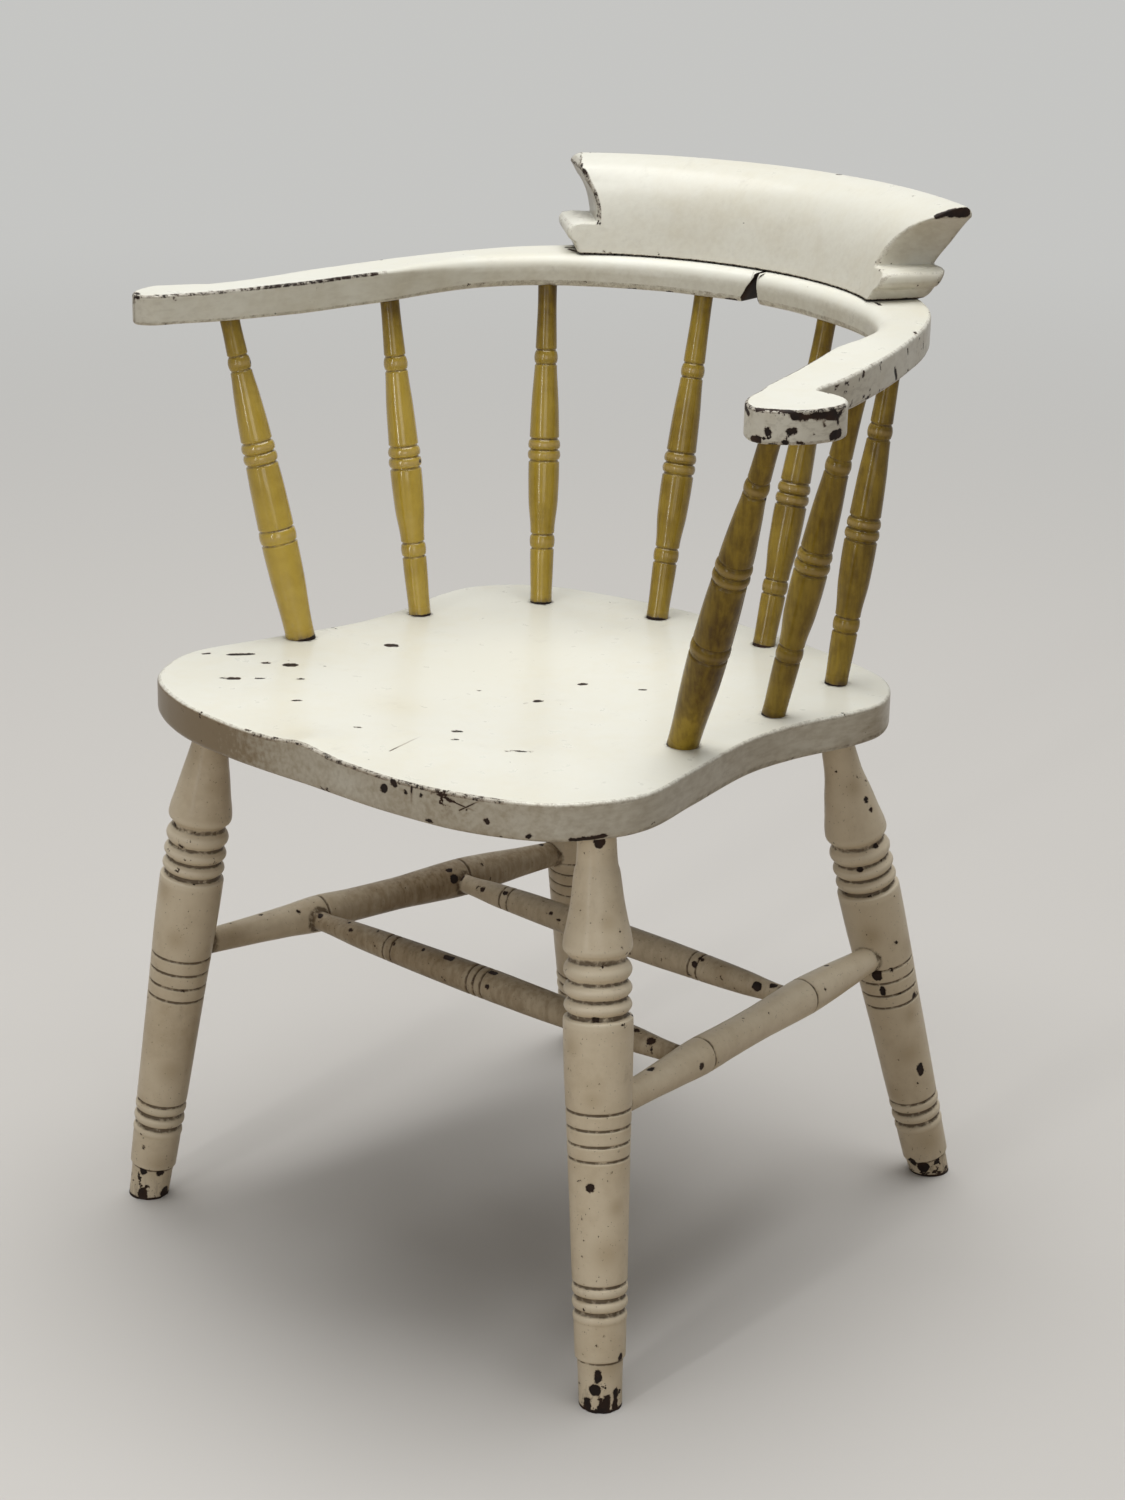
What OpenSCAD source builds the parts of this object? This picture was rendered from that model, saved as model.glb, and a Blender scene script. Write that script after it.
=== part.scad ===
// A painted smoker's bow armchair, in millimetres.
// +Z is up and the chair faces -Y. The origin lies on the floor under the middle of the chair.

/* [Seat] */
// Height of the seat's front rim above the floor
seat_h = 441; // [420:1:460]
// Thickness of the seat plank
seat_t = 28; // [27:1:34]
// Fall of the seat towards the back, in degrees
seat_slope = 1.2; // [0.6:0.1:1.8]
// Half of the seat's width at its front corners
seat_front_half = 223; // [218:1:228]
// Half of the seat's width at its waist
seat_waist_half = 197; // [194:1:202]
// Half of the seat's width at its back corners
seat_back_half = 209; // [204:1:213]
// Depth of the seat from its front edge to its back edge
seat_depth = 471; // [465:1:478]
// Depth of the saddle hollow on each side
saddle_depth = 6; // [3:0.5:8]
// Radius of the saddle hollow at the seat's top face
saddle_r = 150; // [130:5:160]

/* [Legs] */
// Floor position of a front leg's axis, right side
front_foot = [235, -211];
// Floor position of a back leg's axis, right side
back_foot = [186, 251];
// Where a front leg's axis meets the underside of the seat, right side
front_root = [188, -176];
// Where a back leg's axis meets the underside of the seat, right side
back_root = [134, 155];
// Largest radius of a leg's turning
leg_r = 24; // [22:0.5:25]
// Radius of a leg's neck, which fits its hole in the seat
leg_neck_r = 10.2; // [9:0.1:11]
// Depth of a leg's hole in the seat
leg_socket = 20; // [14:1:21]
// How far each leg's turned pattern sits down the leg: front left, front right, back left, back right
leg_drop = [-4, -12, 6, 10];

/* [Stretchers] */
// Height of the side stretchers at the front legs
stretcher_front_z = 209; // [200:1:216]
// Height of the side stretchers at the back legs
stretcher_back_z = 196; // [190:1:206]
// Largest radius of a side stretcher
side_r = 12.6; // [12:0.1:13.5]
// Largest radius of a cross stretcher
cross_r = 12; // [11:0.1:13]
// Radius of a stretcher's end where it enters its hole
stretcher_end_r = 8.2; // [7.5:0.1:8.6]
// How far short of the leg's axis a side stretcher's end stops
leg_hole_short = 4; // [2:0.5:6]
// Place of the front cross stretcher along the sides, as a share of their length
cross_front_at = 0.30; // [0.27:0.01:0.33]
// Place of the back cross stretcher along the sides, as a share of their length
cross_back_at = 0.67; // [0.64:0.01:0.72]
// Places of the scribed rings on the front cross stretcher, as shares of its length
cross_front_rings = [0.245, 0.48, 0.74];
// Places of the scribed rings on the back cross stretcher
cross_back_rings = [0.18, 0.46, 0.735];

/* [Spindles] */
// Radius of a spindle's top end in the arm
spindle_top_r = 7.4; // [6:0.1:8]
// Radius of a back spindle's base in the seat
spindle_base_r = 8.6; // [8:0.1:9]
// Radius of a front post's base in the seat
post_base_r = 11.2; // [10:0.1:12]
// Depth of the spindle holes in the seat
spindle_socket = 18; // [12:1:20]
// Depth of the spindle holes in the arms
arm_socket = 16; // [10:1:18]

/* [Arm bow] */
// Height of the arms' underside
arm_z = 681; // [676:1:685]
// Thickness of the arms
arm_t = 24; // [23:0.5:28]
// Rounding of the arms' edges
arm_round = 5; // [3:0.5:6]
// Twist of the racked bow on the seat, in degrees
bow_twist = 4.5; // [3.5:0.5:5.5]
// How far the left arm's end is bevelled away under the joint
joint_bevel = 11; // [4:1:14]
// Angle of the joint between the two halves, to the right of the bow's middle
joint_angle = 3; // [0:0.5:4]
// Inner edge, width and length of the left hand
hand_left = [243, 54, 112];
// Inner edge, width and length of the right hand
hand_right = [235, 64, 91];

/* [Crest] */
// Radius of the crest's front edge on the arms
crest_r = 235; // [232:1:237]
// Height of the crest above the arms
crest_h = 69; // [66:1:72]
// Half of the angle that the crest's foot spans
crest_half = 35; // [33:0.5:36]
// Height of the beaded block at each end of the crest
block_h = 26.5; // [24:0.5:28]
// Radius of the hollow cut into each end of the crest
cove_r = 42; // [40:1:44]

/* [Screws] */
// Radius of a screw's shank
screw_r = 2.2; // [1.8:0.1:2.6]
// Radius of a screw's countersunk head
screw_head_r = 4.4; // [4:0.1:5]
// Length of a screw
screw_l = 44; // [38:1:48]

/* [Hidden] */
$fn = 64;
fit = 0.1;
paint_warm = "antiquewhite";
paint_white = "ivory";
paint_yellow = "goldenrod";
bow_centre = [0, -2];
seat_front_y = -267;
// The middle of the chair's outline, which becomes the origin
middle = [9, 21.3];
seat_round = 6;

// ---- small helpers ----

function cubic(a, b, c, d, t) =
    a * pow(1 - t, 3) + 3 * b * t * pow(1 - t, 2) + 3 * c * t * t * (1 - t) + d * pow(t, 3);
function spline_at(a, b, c, d, t) = cubic(b, b + (c - a) / 6, c - (d - b) / 6, c, t);
function clamp_i(i, n) = min(max(i, 0), n - 1);
// smooth open curve through the points p, with k steps between each pair
function smooth(p, k) = [
    for (i = [0:len(p) - 2]) for (j = [0:k - 1])
        spline_at(p[clamp_i(i - 1, len(p))], p[i], p[i + 1], p[clamp_i(i + 2, len(p))], j / k),
    p[len(p) - 1]];
function reversed(p) = [for (i = [len(p) - 1:-1:0]) p[i]];
function mirrored(p) = [for (q = p) [-q[0], q[1]]];
function unit(v) = v / norm(v);
function mix3(a, b, t) = a + (b - a) * t;
function normal_at(p, i) = let (n = len(p), d = unit(p[(i + 1) % n] - p[(i + n - 1) % n])) [d[1], -d[0]];
// the closed outline p, which runs anticlockwise, moved inwards by d
function inset(p, d) = [for (i = [0:len(p) - 1]) p[i] - normal_at(p, i) * d];

// A strip of triangles across a closed ring of n points, which pairs point i with point n - s - i
function strip(n, s) = [
    for (i = [0:floor((n - s) / 2) - 1])
        let (a = i, b = i + 1, c = (n - s - i - 1) % n, d = (n - s - i) % n)
            each [[a, b, c], [a, c, d]]];
function whole(f) = f[0] != f[1] && f[1] != f[2] && f[2] != f[0];

// A slab of thickness t with its edges rounded to radius r; the outline p runs anticlockwise,
// and s says how its points pair across it: 0 with a single point at each end, 1 with one at the far end
module rounded_slab(p, t, r, s) {
    n = len(p);
    steps = [0, 30, 60, 90];
    low = [for (a = steps) [r - r * sin(a), r - r * cos(a)]];
    high = [for (q = reversed(low)) [q[0], t - q[1]]];
    levels = concat(low, high);
    points = [for (l = levels) each [for (q = inset(p, l[0])) [q[0], q[1], l[1]]]];
    sides = [for (k = [0:len(levels) - 2]) for (i = [0:n - 1])
        [k * n + i, (k + 1) * n + i, (k + 1) * n + (i + 1) % n, k * n + (i + 1) % n]];
    split = [for (f = sides) each [[f[0], f[1], f[2]], [f[0], f[2], f[3]]]];
    caps = [for (f = strip(n, s)) if (whole(f)) f];
    lift = (len(levels) - 1) * n;
    top = [for (f = caps) [f[2] + lift, f[1] + lift, f[0] + lift]];
    polyhedron(points, concat(split, caps, top));
}

// Turns and moves a piece drawn along +Z so that it runs from a towards b
module along(a, b) {
    d = b - a;
    translate(a)
        rotate([0, acos(d[2] / norm(d)), atan2(d[1], d[0])])
            children();
}

// A turned piece: the profile is a list of [height, radius]
module turned(profile) {
    n = len(profile);
    rotate_extrude($fn = 72)
        polygon(concat([[0, profile[0][0]]], [for (q = profile) [q[1], q[0]]], [[0, profile[n - 1][0]]]));
}

// One scribed ring at height h on a radius r, as profile points
function scribe(h, r, w, d) = [[h - w / 2, r], [h - w / 6, r - d], [h + w / 6, r - d], [h + w / 2, r]];
// One rounded bead from height a to height b, rising from radius r by e
function bead(a, b, r, e) = [for (k = [0:6]) [a + (b - a) * k / 6, r + e * sin(180 * k / 6)]];

// ---- seat ----

seat_back_y = seat_front_y + seat_depth;
seat_half_outline = smooth([
    [0, seat_front_y], [0.33 * seat_front_half, seat_front_y + 1], [0.61 * seat_front_half, seat_front_y + 9],
    [0.84 * seat_front_half, seat_front_y + 33], [0.96 * seat_front_half, seat_front_y + 69],
    [seat_front_half, seat_front_y + 107], [0.95 * seat_front_half, seat_front_y + 167],
    [seat_waist_half, seat_front_y + 243], [seat_waist_half + 1, seat_front_y + 297],
    [seat_back_half, seat_back_y - 113], [seat_back_half - 4, seat_back_y - 74],
    [0.84 * seat_back_half, seat_back_y - 36], [0.59 * seat_back_half, seat_back_y - 16],
    [0.3 * seat_back_half, seat_back_y - 5], [0, seat_back_y]], 4);
seat_outline = concat(seat_half_outline,
    [for (i = [len(seat_half_outline) - 2:-1:1]) [-seat_half_outline[i][0], seat_half_outline[i][1]]]);
saddle_ball = (pow(saddle_r, 2) + pow(saddle_depth, 2)) / (2 * saddle_depth);
saddle_x = 92;
saddle_y = -70;

function seat_top(y) = seat_h - (y - seat_front_y) * tan(seat_slope);
function seat_under(y) = seat_top(y) - seat_t;

module seat_plank() {
    translate([0, seat_front_y, seat_h])
        rotate([-seat_slope, 0, 0])
            translate([0, -seat_front_y, -seat_t])
                difference() {
                    rounded_slab(seat_outline, seat_t, seat_round, 0);
                    for (s = [-1, 1])
                        translate([s * saddle_x, saddle_y, seat_t - saddle_depth + saddle_ball])
                            rotate([90, 0, 0])
                                sphere(saddle_ball, $fn = 240);
                }
}

module seat() {
    color(paint_white)
        difference() {
            seat_plank();
            for (k = [0:3])
                along(leg_root(k), leg_end(k))
                    translate([0, 0, -leg_socket])
                        cylinder(r = leg_neck_r + fit, h = leg_socket + 30);
            for (s = SPINDLES)
                along(s[1], s[2])
                    translate([0, 0, -spindle_socket])
                        cylinder(r = s[3] + fit, h = spindle_socket + 20);
        }
}

// ---- legs: 0 front left, 1 front right, 2 back left, 3 back right ----

function side_of(k) = (k % 2 == 0) ? -1 : 1;
function leg_foot(k) = let (f = k < 2 ? front_foot : back_foot) [side_of(k) * f[0], f[1], 0];
function leg_root(k) = let (f = k < 2 ? front_root : back_root) [side_of(k) * f[0], f[1], seat_under(f[1])];
function leg_end(k) = let (a = leg_root(k), b = leg_foot(k)) a + (b - a) * 1.08;
function leg_at(k, z) = let (a = leg_root(k), b = leg_foot(k)) mix3(b, a, z / a[2]);

// Turned pattern of a leg, by distance down from the seat; s moves the pattern along the leg
function leg_profile(s) = concat(
    [[-leg_socket, leg_neck_r], [10, leg_neck_r], [44 + s, 0.6 * leg_r], [65 + s, 0.76 * leg_r],
        [80 + s, 0.88 * leg_r], [92 + s, 0.98 * leg_r], [97 + s, leg_r], [101 + s, 0.95 * leg_r],
        [104 + s, 0.86 * leg_r], [106 + s, 0.87 * leg_r]],
    bead(106 + s, 119 + s, 0.87 * leg_r, 3), bead(121 + s, 131 + s, 0.87 * leg_r, 3),
    bead(133 + s, 143 + s, 0.87 * leg_r, 3),
    [[145 + s, 0.92 * leg_r], [148 + s, 1.01 * leg_r], [175 + s, leg_r]],
    scribe(210 + s, 0.95 * leg_r, 3, 1.2), scribe(222 + s, 0.93 * leg_r, 3, 1.2),
    scribe(234 + s, 0.91 * leg_r, 3, 1.2), scribe(245 + s, 0.9 * leg_r, 3, 1.2),
    scribe(337 + s, 0.8 * leg_r, 4, 1.5), scribe(347 + s, 0.79 * leg_r, 4, 1.5),
    scribe(357 + s, 0.77 * leg_r, 4, 1.5),
    [[391 + s, 0.74 * leg_r], [392 + s, 0.67 * leg_r], [460, 0.6 * leg_r]]);

module leg(k) {
    a = leg_root(k);
    b = leg_end(k);
    side = k % 2;
    color(paint_warm)
        difference() {
            along(a, b)
                rotate([0, 0, 50])
                    turned(leg_profile(leg_drop[k]));
            translate([b[0] - 100, b[1] - 100, -80])
                cube([200, 200, 80]);
            if (k < 2)
                along(side_end(side, 0), side_end(side, 1))
                    cylinder(r = stretcher_end_r + fit, h = 60);
            if (k > 1)
                along(side_end(side, 1), side_end(side, 0))
                    cylinder(r = stretcher_end_r + fit, h = 60);
        }
}

// ---- stretchers ----

// Axis of a side stretcher where it crosses the legs' axes; side 0 is left, e 0 is the front end
function side_axis(side, e) = leg_at(e * 2 + side, e == 0 ? stretcher_front_z : stretcher_back_z);
// Where a side stretcher's end stops inside the leg
function side_end(side, e) =
    let (a = side_axis(side, e), b = side_axis(side, 1 - e)) a + unit(b - a) * leg_hole_short;
function side_at(side, t) = mix3(side_axis(side, 0), side_axis(side, 1), t);
function side_length(side) = norm(side_end(side, 1) - side_end(side, 0));

function side_profile(l) = concat(
    [[0, stretcher_end_r], [leg_r + 4, stretcher_end_r], [0.15 * l, 0.74 * side_r],
        [0.24 * l, 0.9 * side_r], [0.3 * l, 0.97 * side_r]],
    scribe(0.33 * l, side_r, 3, 1.2), [[0.42 * l, side_r], [0.58 * l, side_r]],
    scribe(0.69 * l, side_r, 3, 1.2),
    [[0.72 * l, 0.97 * side_r], [0.78 * l, 0.9 * side_r], [0.87 * l, 0.74 * side_r],
        [l - leg_r - 4, stretcher_end_r], [l, stretcher_end_r]]);

module stretcher_side(side) {
    color(paint_warm)
        difference() {
            along(side_end(side, 0), side_end(side, 1))
                turned(side_profile(side_length(side)));
            for (t = [cross_front_at, cross_back_at])
                along(cross_end(side, t), cross_end(1 - side, t))
                    cylinder(r = 0.9 * stretcher_end_r + fit, h = 40);
        }
}

// End of a cross stretcher inside a side stretcher
function cross_end(side, t) =
    let (a = side_at(side, t), b = side_at(1 - side, t)) a + unit(a - b) * 2;

// Turned pattern of a cross stretcher of length l, with its pairs of rings at the shares a and b
// of its length and three rings at the share m
function cross_profile(l, a, m, b) = concat(
    [[0, 0.9 * stretcher_end_r], [24, 0.9 * stretcher_end_r], [0.14 * l, 0.78 * cross_r]],
    scribe(a * l - 4, 0.88 * cross_r, 3, 1.2), scribe(a * l + 4, 0.9 * cross_r, 3, 1.2),
    [[0.4 * l, 0.98 * cross_r]],
    [for (k = [-1:1]) each scribe(m * l + 7 * k, cross_r, 3.4, 1.4)],
    [[0.6 * l, 0.98 * cross_r]],
    scribe(b * l - 4, 0.9 * cross_r, 3, 1.2), scribe(b * l + 4, 0.88 * cross_r, 3, 1.2),
    [[0.86 * l, 0.78 * cross_r], [l - 24, 0.9 * stretcher_end_r], [l, 0.9 * stretcher_end_r]]);

module stretcher_cross(t, rings) {
    a = cross_end(0, t);
    b = cross_end(1, t);
    color(paint_warm)
        along(a, b)
            turned(cross_profile(norm(b - a), rings[0], rings[1], rings[2]));
}

// ---- spindles ----

// Each spindle's place on the seat and under the arm; the holes were bored by hand and differ a little
function seat_point(p) = [p[0], p[1], seat_top(p[1])];
function arm_point(p) = [p[0], p[1], arm_z];
function spindle_row(p, q, r, s) =
    let (a = seat_point(p), b = arm_point(q), d = unit(b - a))
        [s, a, b + d * arm_socket, r, norm(b - a)];
SPINDLES = [
    spindle_row([-195, -81], [-246, -104], post_base_r, 0),
    spindle_row([-179, 34], [-217, 37], spindle_base_r, 5),
    spindle_row([-139, 132], [-166, 163], spindle_base_r, 2),
    spindle_row([-47, 167], [-57, 224], spindle_base_r, 3),
    spindle_row([172, -67], [262, -97], post_base_r, 5),
    spindle_row([172, 36], [225, 46], spindle_base_r, 3),
    spindle_row([156, 132], [169, 165], spindle_base_r, -1),
    spindle_row([57, 171], [60, 229], spindle_base_r, -1)];

function rings2(h, r) = concat(bead(h - 7, h - 0.6, r, 1.6), bead(h + 0.6, h + 7, r, 1.6));

// A back spindle of visible length l, from the bottom of its hole in the seat upwards
function spindle_profile(l, s) = concat(
    [[0, spindle_base_r], [spindle_socket + 6, spindle_base_r], [spindle_socket + 40 + s, 9.6]],
    bead(spindle_socket + 43 + s, spindle_socket + 51 + s, 8.8, 1.2),
    [[spindle_socket + 54 + s, 9.6], [spindle_socket + 80 + s, 11.8], [spindle_socket + 111 + s, 12.4]],
    rings2(spindle_socket + 120 + s, 11),
    [[spindle_socket + 130 + s, 11.8], [spindle_socket + 160 + s, 10.6], [spindle_socket + 186 + s, 9]],
    bead(spindle_socket + 189 + s, spindle_socket + 197 + s, 8, 1.2),
    [[spindle_socket + 201 + s, 8.4], [spindle_socket + l - 8, spindle_top_r],
        [spindle_socket + l + arm_socket, spindle_top_r]]);

// A front post, stouter below
function post_profile(l, s) = concat(
    [[0, post_base_r], [spindle_socket + 8, post_base_r], [spindle_socket + 50 + s, 13.4],
        [spindle_socket + 74 + s, 13.8]],
    bead(spindle_socket + 77 + s, spindle_socket + 86 + s, 12.8, 1.2),
    [[spindle_socket + 89 + s, 13.8], [spindle_socket + 120 + s, 13.2], [spindle_socket + 138 + s, 12.6]],
    rings2(spindle_socket + 146 + s, 11.2),
    [[spindle_socket + 156 + s, 12], [spindle_socket + 190 + s, 10], [spindle_socket + 208 + s, 8.4]],
    bead(spindle_socket + 211 + s, spindle_socket + 219 + s, 7.6, 1.2),
    [[spindle_socket + 223 + s, 7.9], [spindle_socket + l - 8, spindle_top_r],
        [spindle_socket + l + arm_socket, spindle_top_r]]);

module spindle(i) {
    s = SPINDLES[i];
    d = unit(s[2] - s[1]);
    color(paint_yellow)
        along(s[1] - d * spindle_socket, s[2])
            turned(s[3] == post_base_r ? post_profile(s[4], s[0]) : spindle_profile(s[4], s[0]));
}

// ---- arm bow ----

// Stations round one half of the bow: angle from the middle, inner radius, outer radius
function bow_rows(a) = [[a, 222, 277], [15, 222, 277], [30, 223, 276], [42, 225, 269], [54, 221, 258],
    [66, 211, 248], [78, 204, 246], [90, 210, 252], [99, 221, 262]];
// The paddle-shaped hand in front of the last station, from its outer step round to its inner edge,
// as shares of its width and length
hand = [[0.35, 0], [0.41, 0.12], [0.64, 0.12], [0.87, 0.2], [1, 0.38], [0.98, 0.59], [0.84, 0.8],
    [0.6, 0.96], [0.38, 1], [0.17, 0.91], [0.05, 0.74], [0, 0.52], [-0.07, 0.25]];
hand_back_y = -58;
function bow_point(a, r) = [r * sin(a), r * cos(a) + bow_centre[1]];
// Outline of one half, for the half whose first station is at the angle a
function half_bow(a, size) = let (rows = bow_rows(a)) reversed(smooth(concat(
    [for (q = rows) bow_point(q[0], q[2])],
    [for (h = hand) [size[0] + h[0] * size[1], hand_back_y - h[1] * size[2]]],
    [for (q = reversed(rows)) bow_point(q[0], q[1])]), 4));
left_outline = reversed(mirrored(half_bow(-joint_angle, hand_left)));
right_outline = half_bow(joint_angle, hand_right);

module bow_turn() {
    translate([bow_centre[0], bow_centre[1], 0])
        rotate([0, 0, bow_twist])
            translate([-bow_centre[0], -bow_centre[1], 0])
                children();
}

// One half of the bow; s is -1 for the left arm and 1 for the right
module half_arm(s) {
    color(paint_white)
        difference() {
            bow_turn()
                translate([0, 0, arm_z])
                    difference() {
                        rounded_slab(s < 0 ? left_outline : right_outline, arm_t, arm_round, 1);
                        joint_cut(s);
                    }
            for (q = SPINDLES)
                if (q[1][0] * s > 0)
                    along(q[2], q[1])
                        cylinder(r = spindle_top_r + fit, h = arm_socket + 30);
            for (p = screw_places)
                if (p[0] * s > 0)
                    bow_turn()
                        translate([p[0], p[1], arm_z])
                            screw_space();
        }
}

// The lower corner of each half is cut away beside the joint, more on the left
module joint_cut(s) {
    w = s < 0 ? joint_bevel : joint_bevel / 3;
    translate([bow_centre[0], bow_centre[1], 0])
        rotate([90, 0, -joint_angle])
            translate([0, 0, -400])
                linear_extrude(height = 400)
                    polygon([[-s, -1], [-s, arm_t - 2], [0, arm_t - 2], [s * w, -1]]);
}

module arm_left() {
    half_arm(-1);
}

module arm_right() {
    half_arm(1);
}

// ---- crest ----

// Cross-section of the crest: [distance out from its front edge, height]
crest_front = [for (t = [0:0.1:1]) cubic([0, 0], [14, 0.4 * crest_h], [24, 0.957 * crest_h], [75, crest_h], t)];
crest_back = [[77, 0.96 * crest_h], [76, 0.9 * crest_h], [63, 0.6 * crest_h], [56, 0.36 * crest_h],
    [54.5, 0.28 * crest_h], [51, 0.13 * crest_h], [46, 0.05 * crest_h], [40, 0]];

module crest() {
    color(paint_white)
        bow_turn()
            difference() {
                translate([bow_centre[0], bow_centre[1], arm_z + arm_t])
                    rotate([0, 0, 90 - crest_half - 8])
                        rotate_extrude(angle = 2 * crest_half + 16, $fn = 180)
                            translate([crest_r, 0])
                                polygon(concat(crest_front, crest_back));
                for (s = [-1, 1])
                    translate([bow_centre[0], bow_centre[1], arm_z + arm_t])
                        rotate([0, 0, -s * crest_half])
                            crest_end_cut(s);
                for (p = screw_places)
                    translate([p[0], p[1], arm_z])
                        cylinder(r = screw_r, h = screw_l);
            }
}

// What is cut away at a crest end, seen along the radius: a hollow above a beaded block
module crest_end_cut(s) {
    translate([0, crest_r + 160, 0])
        rotate([90, 0, 0])
            linear_extrude(height = 200)
                scale([s, 1])
                    difference() {
                        union() {
                            translate([0, -1])
                                square([90, block_h + 1]);
                            intersection() {
                                translate([-20, block_h - 0.01])
                                    square([110, 80]);
                                translate([cove_r - 14, block_h + 4])
                                    circle(cove_r, $fn = 120);
                            }
                            translate([17, block_h])
                                square([90, 80]);
                        }
                        translate([2, block_h - 7])
                            circle(6.5);
                        polygon([[-1, -2], [0, -1], [3, 6], [5, block_h - 10], [-1, block_h - 2]]);
                    }
}

// ---- screws that hold the crest, driven up through the arms ----

screw_places = [for (a = [-27, -9, 9, 27]) bow_point(a, 256)];

module screw_space() {
    translate([0, 0, -1])
        cylinder(r = screw_r + fit, h = arm_t + 2);
    translate([0, 0, -1])
        cylinder(r = screw_head_r + fit, h = 2);
    translate([0, 0, 1])
        cylinder(r1 = screw_head_r + fit, r2 = screw_r + fit, h = 2.4, $fn = 64);
}

module crest_screws() {
    color("dimgray")
        bow_turn()
            for (p = screw_places)
                translate([p[0], p[1], arm_z])
                    difference() {
                        union() {
                            cylinder(r = screw_r, h = screw_l);
                            cylinder(r = screw_head_r, h = 1);
                            translate([0, 0, 1])
                                cylinder(r1 = screw_head_r, r2 = screw_r, h = 2.2, $fn = 64);
                        }
                        translate([-screw_head_r - 1, -0.5, -1])
                            cube([2 * screw_head_r + 2, 1, 2]);
                    }
}

// Moves the chair so that the middle of its outline stands on the origin
module on_floor() {
    translate([-middle[0], -middle[1], 0])
        children();
}

on_floor() seat();
on_floor() leg(0);  // leg_front_left
on_floor() leg(1);  // leg_front_right
on_floor() leg(2);  // leg_back_left
on_floor() leg(3);  // leg_back_right
on_floor() stretcher_side(0);  // stretcher_left
on_floor() stretcher_side(1);  // stretcher_right
on_floor() stretcher_cross(cross_front_at, cross_front_rings);  // stretcher_front_cross
on_floor() stretcher_cross(cross_back_at, cross_back_rings);  // stretcher_back_cross
on_floor() spindle(0);  // post_left
on_floor() spindle(1);  // spindle_left_front
on_floor() spindle(2);  // spindle_left_middle
on_floor() spindle(3);  // spindle_left_back
on_floor() spindle(4);  // post_right
on_floor() spindle(5);  // spindle_right_front
on_floor() spindle(6);  // spindle_right_middle
on_floor() spindle(7);  // spindle_right_back
on_floor() arm_left();
on_floor() arm_right();
on_floor() crest();
on_floor() crest_screws();
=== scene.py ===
import math
import bmesh
import bpy
import numpy as np
from mathutils import Matrix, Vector
from mathutils.kdtree import KDTree


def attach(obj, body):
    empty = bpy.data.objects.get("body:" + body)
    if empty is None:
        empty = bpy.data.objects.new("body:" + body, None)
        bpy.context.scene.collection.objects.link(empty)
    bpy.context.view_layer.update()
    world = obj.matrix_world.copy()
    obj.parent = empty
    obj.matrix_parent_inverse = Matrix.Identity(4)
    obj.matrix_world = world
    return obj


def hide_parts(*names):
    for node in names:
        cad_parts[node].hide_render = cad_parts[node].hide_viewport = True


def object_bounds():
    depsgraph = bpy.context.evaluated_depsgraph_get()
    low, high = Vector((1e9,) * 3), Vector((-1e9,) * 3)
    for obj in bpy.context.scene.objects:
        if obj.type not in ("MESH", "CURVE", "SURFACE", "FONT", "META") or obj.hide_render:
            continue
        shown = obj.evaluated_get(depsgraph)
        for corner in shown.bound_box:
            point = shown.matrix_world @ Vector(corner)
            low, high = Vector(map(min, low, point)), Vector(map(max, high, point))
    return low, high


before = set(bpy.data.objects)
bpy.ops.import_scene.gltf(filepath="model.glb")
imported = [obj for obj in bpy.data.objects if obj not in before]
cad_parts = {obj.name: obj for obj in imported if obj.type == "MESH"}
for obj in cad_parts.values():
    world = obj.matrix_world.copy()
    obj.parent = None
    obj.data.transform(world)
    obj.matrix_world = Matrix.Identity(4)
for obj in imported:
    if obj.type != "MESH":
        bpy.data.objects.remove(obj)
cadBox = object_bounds()
print("frame loaded,", len(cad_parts), "nodes")

mm = 0.001
middle = np.array([9.0, 21.3, 0.0])  # the chair's own middle, moved to the origin in the frame
unmarked = -30.0  # a knock field far from any knock
onEdge = 0.9  # an edge field above this lies on the edge itself


# a socket that can be used in sums, for material and geometry trees alike
class Flow:
    def __init__(self, tree, socket=None):
        self.tree = tree
        self.socket = socket

    def node(self, kind, settings=None, inputs=None, output=0):
        made = self.tree.nodes.new(kind)
        for key, value in (settings or {}).items():
            setattr(made, key, value)
        for key, value in (inputs or {}).items():
            if isinstance(value, Flow):
                self.tree.links.new(value.socket, made.inputs[key])
            else:
                made.inputs[key].default_value = value
        return Flow(self.tree, made.outputs[output] if len(made.outputs) else None)

    def math(self, operation, *values):
        return self.node("ShaderNodeMath", {"operation": operation}, dict(enumerate(values)))

    def vector(self, operation, *values):
        return self.node("ShaderNodeVectorMath", {"operation": operation}, dict(enumerate(values)))

    def __add__(self, other):
        return self.math("ADD", self, other)

    __radd__ = __add__

    def __mul__(self, other):
        return self.math("MULTIPLY", self, other)

    __rmul__ = __mul__

    def __sub__(self, other):
        return self.math("SUBTRACT", self, other)

    def __rsub__(self, other):
        return self.math("SUBTRACT", other, self)

    def top(self, other):  # the larger of the two
        return self.math("MAXIMUM", self, other)

    def rise(self, low, high):  # 0 below low, 1 above high, smooth between
        return self.node("ShaderNodeMapRange", {"interpolation_type": "SMOOTHSTEP"},
                         {"Value": self, "From Min": low, "From Max": high})

    def blend(self, first, second):  # colours, by this share
        return self.node("ShaderNodeMix", {"data_type": "RGBA"}, {0: self, 6: first, 7: second}, 2)


def curveAt(start, near, far, end, t):  # a cubic curve with two handles
    return start * (1 - t) ** 3 + 3 * near * t * (1 - t) ** 2 + 3 * far * t * t * (1 - t) + end * t ** 3


def eased(share):  # 0 to 1, soft at both ends
    return share * share * (3 - 2 * share)


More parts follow.
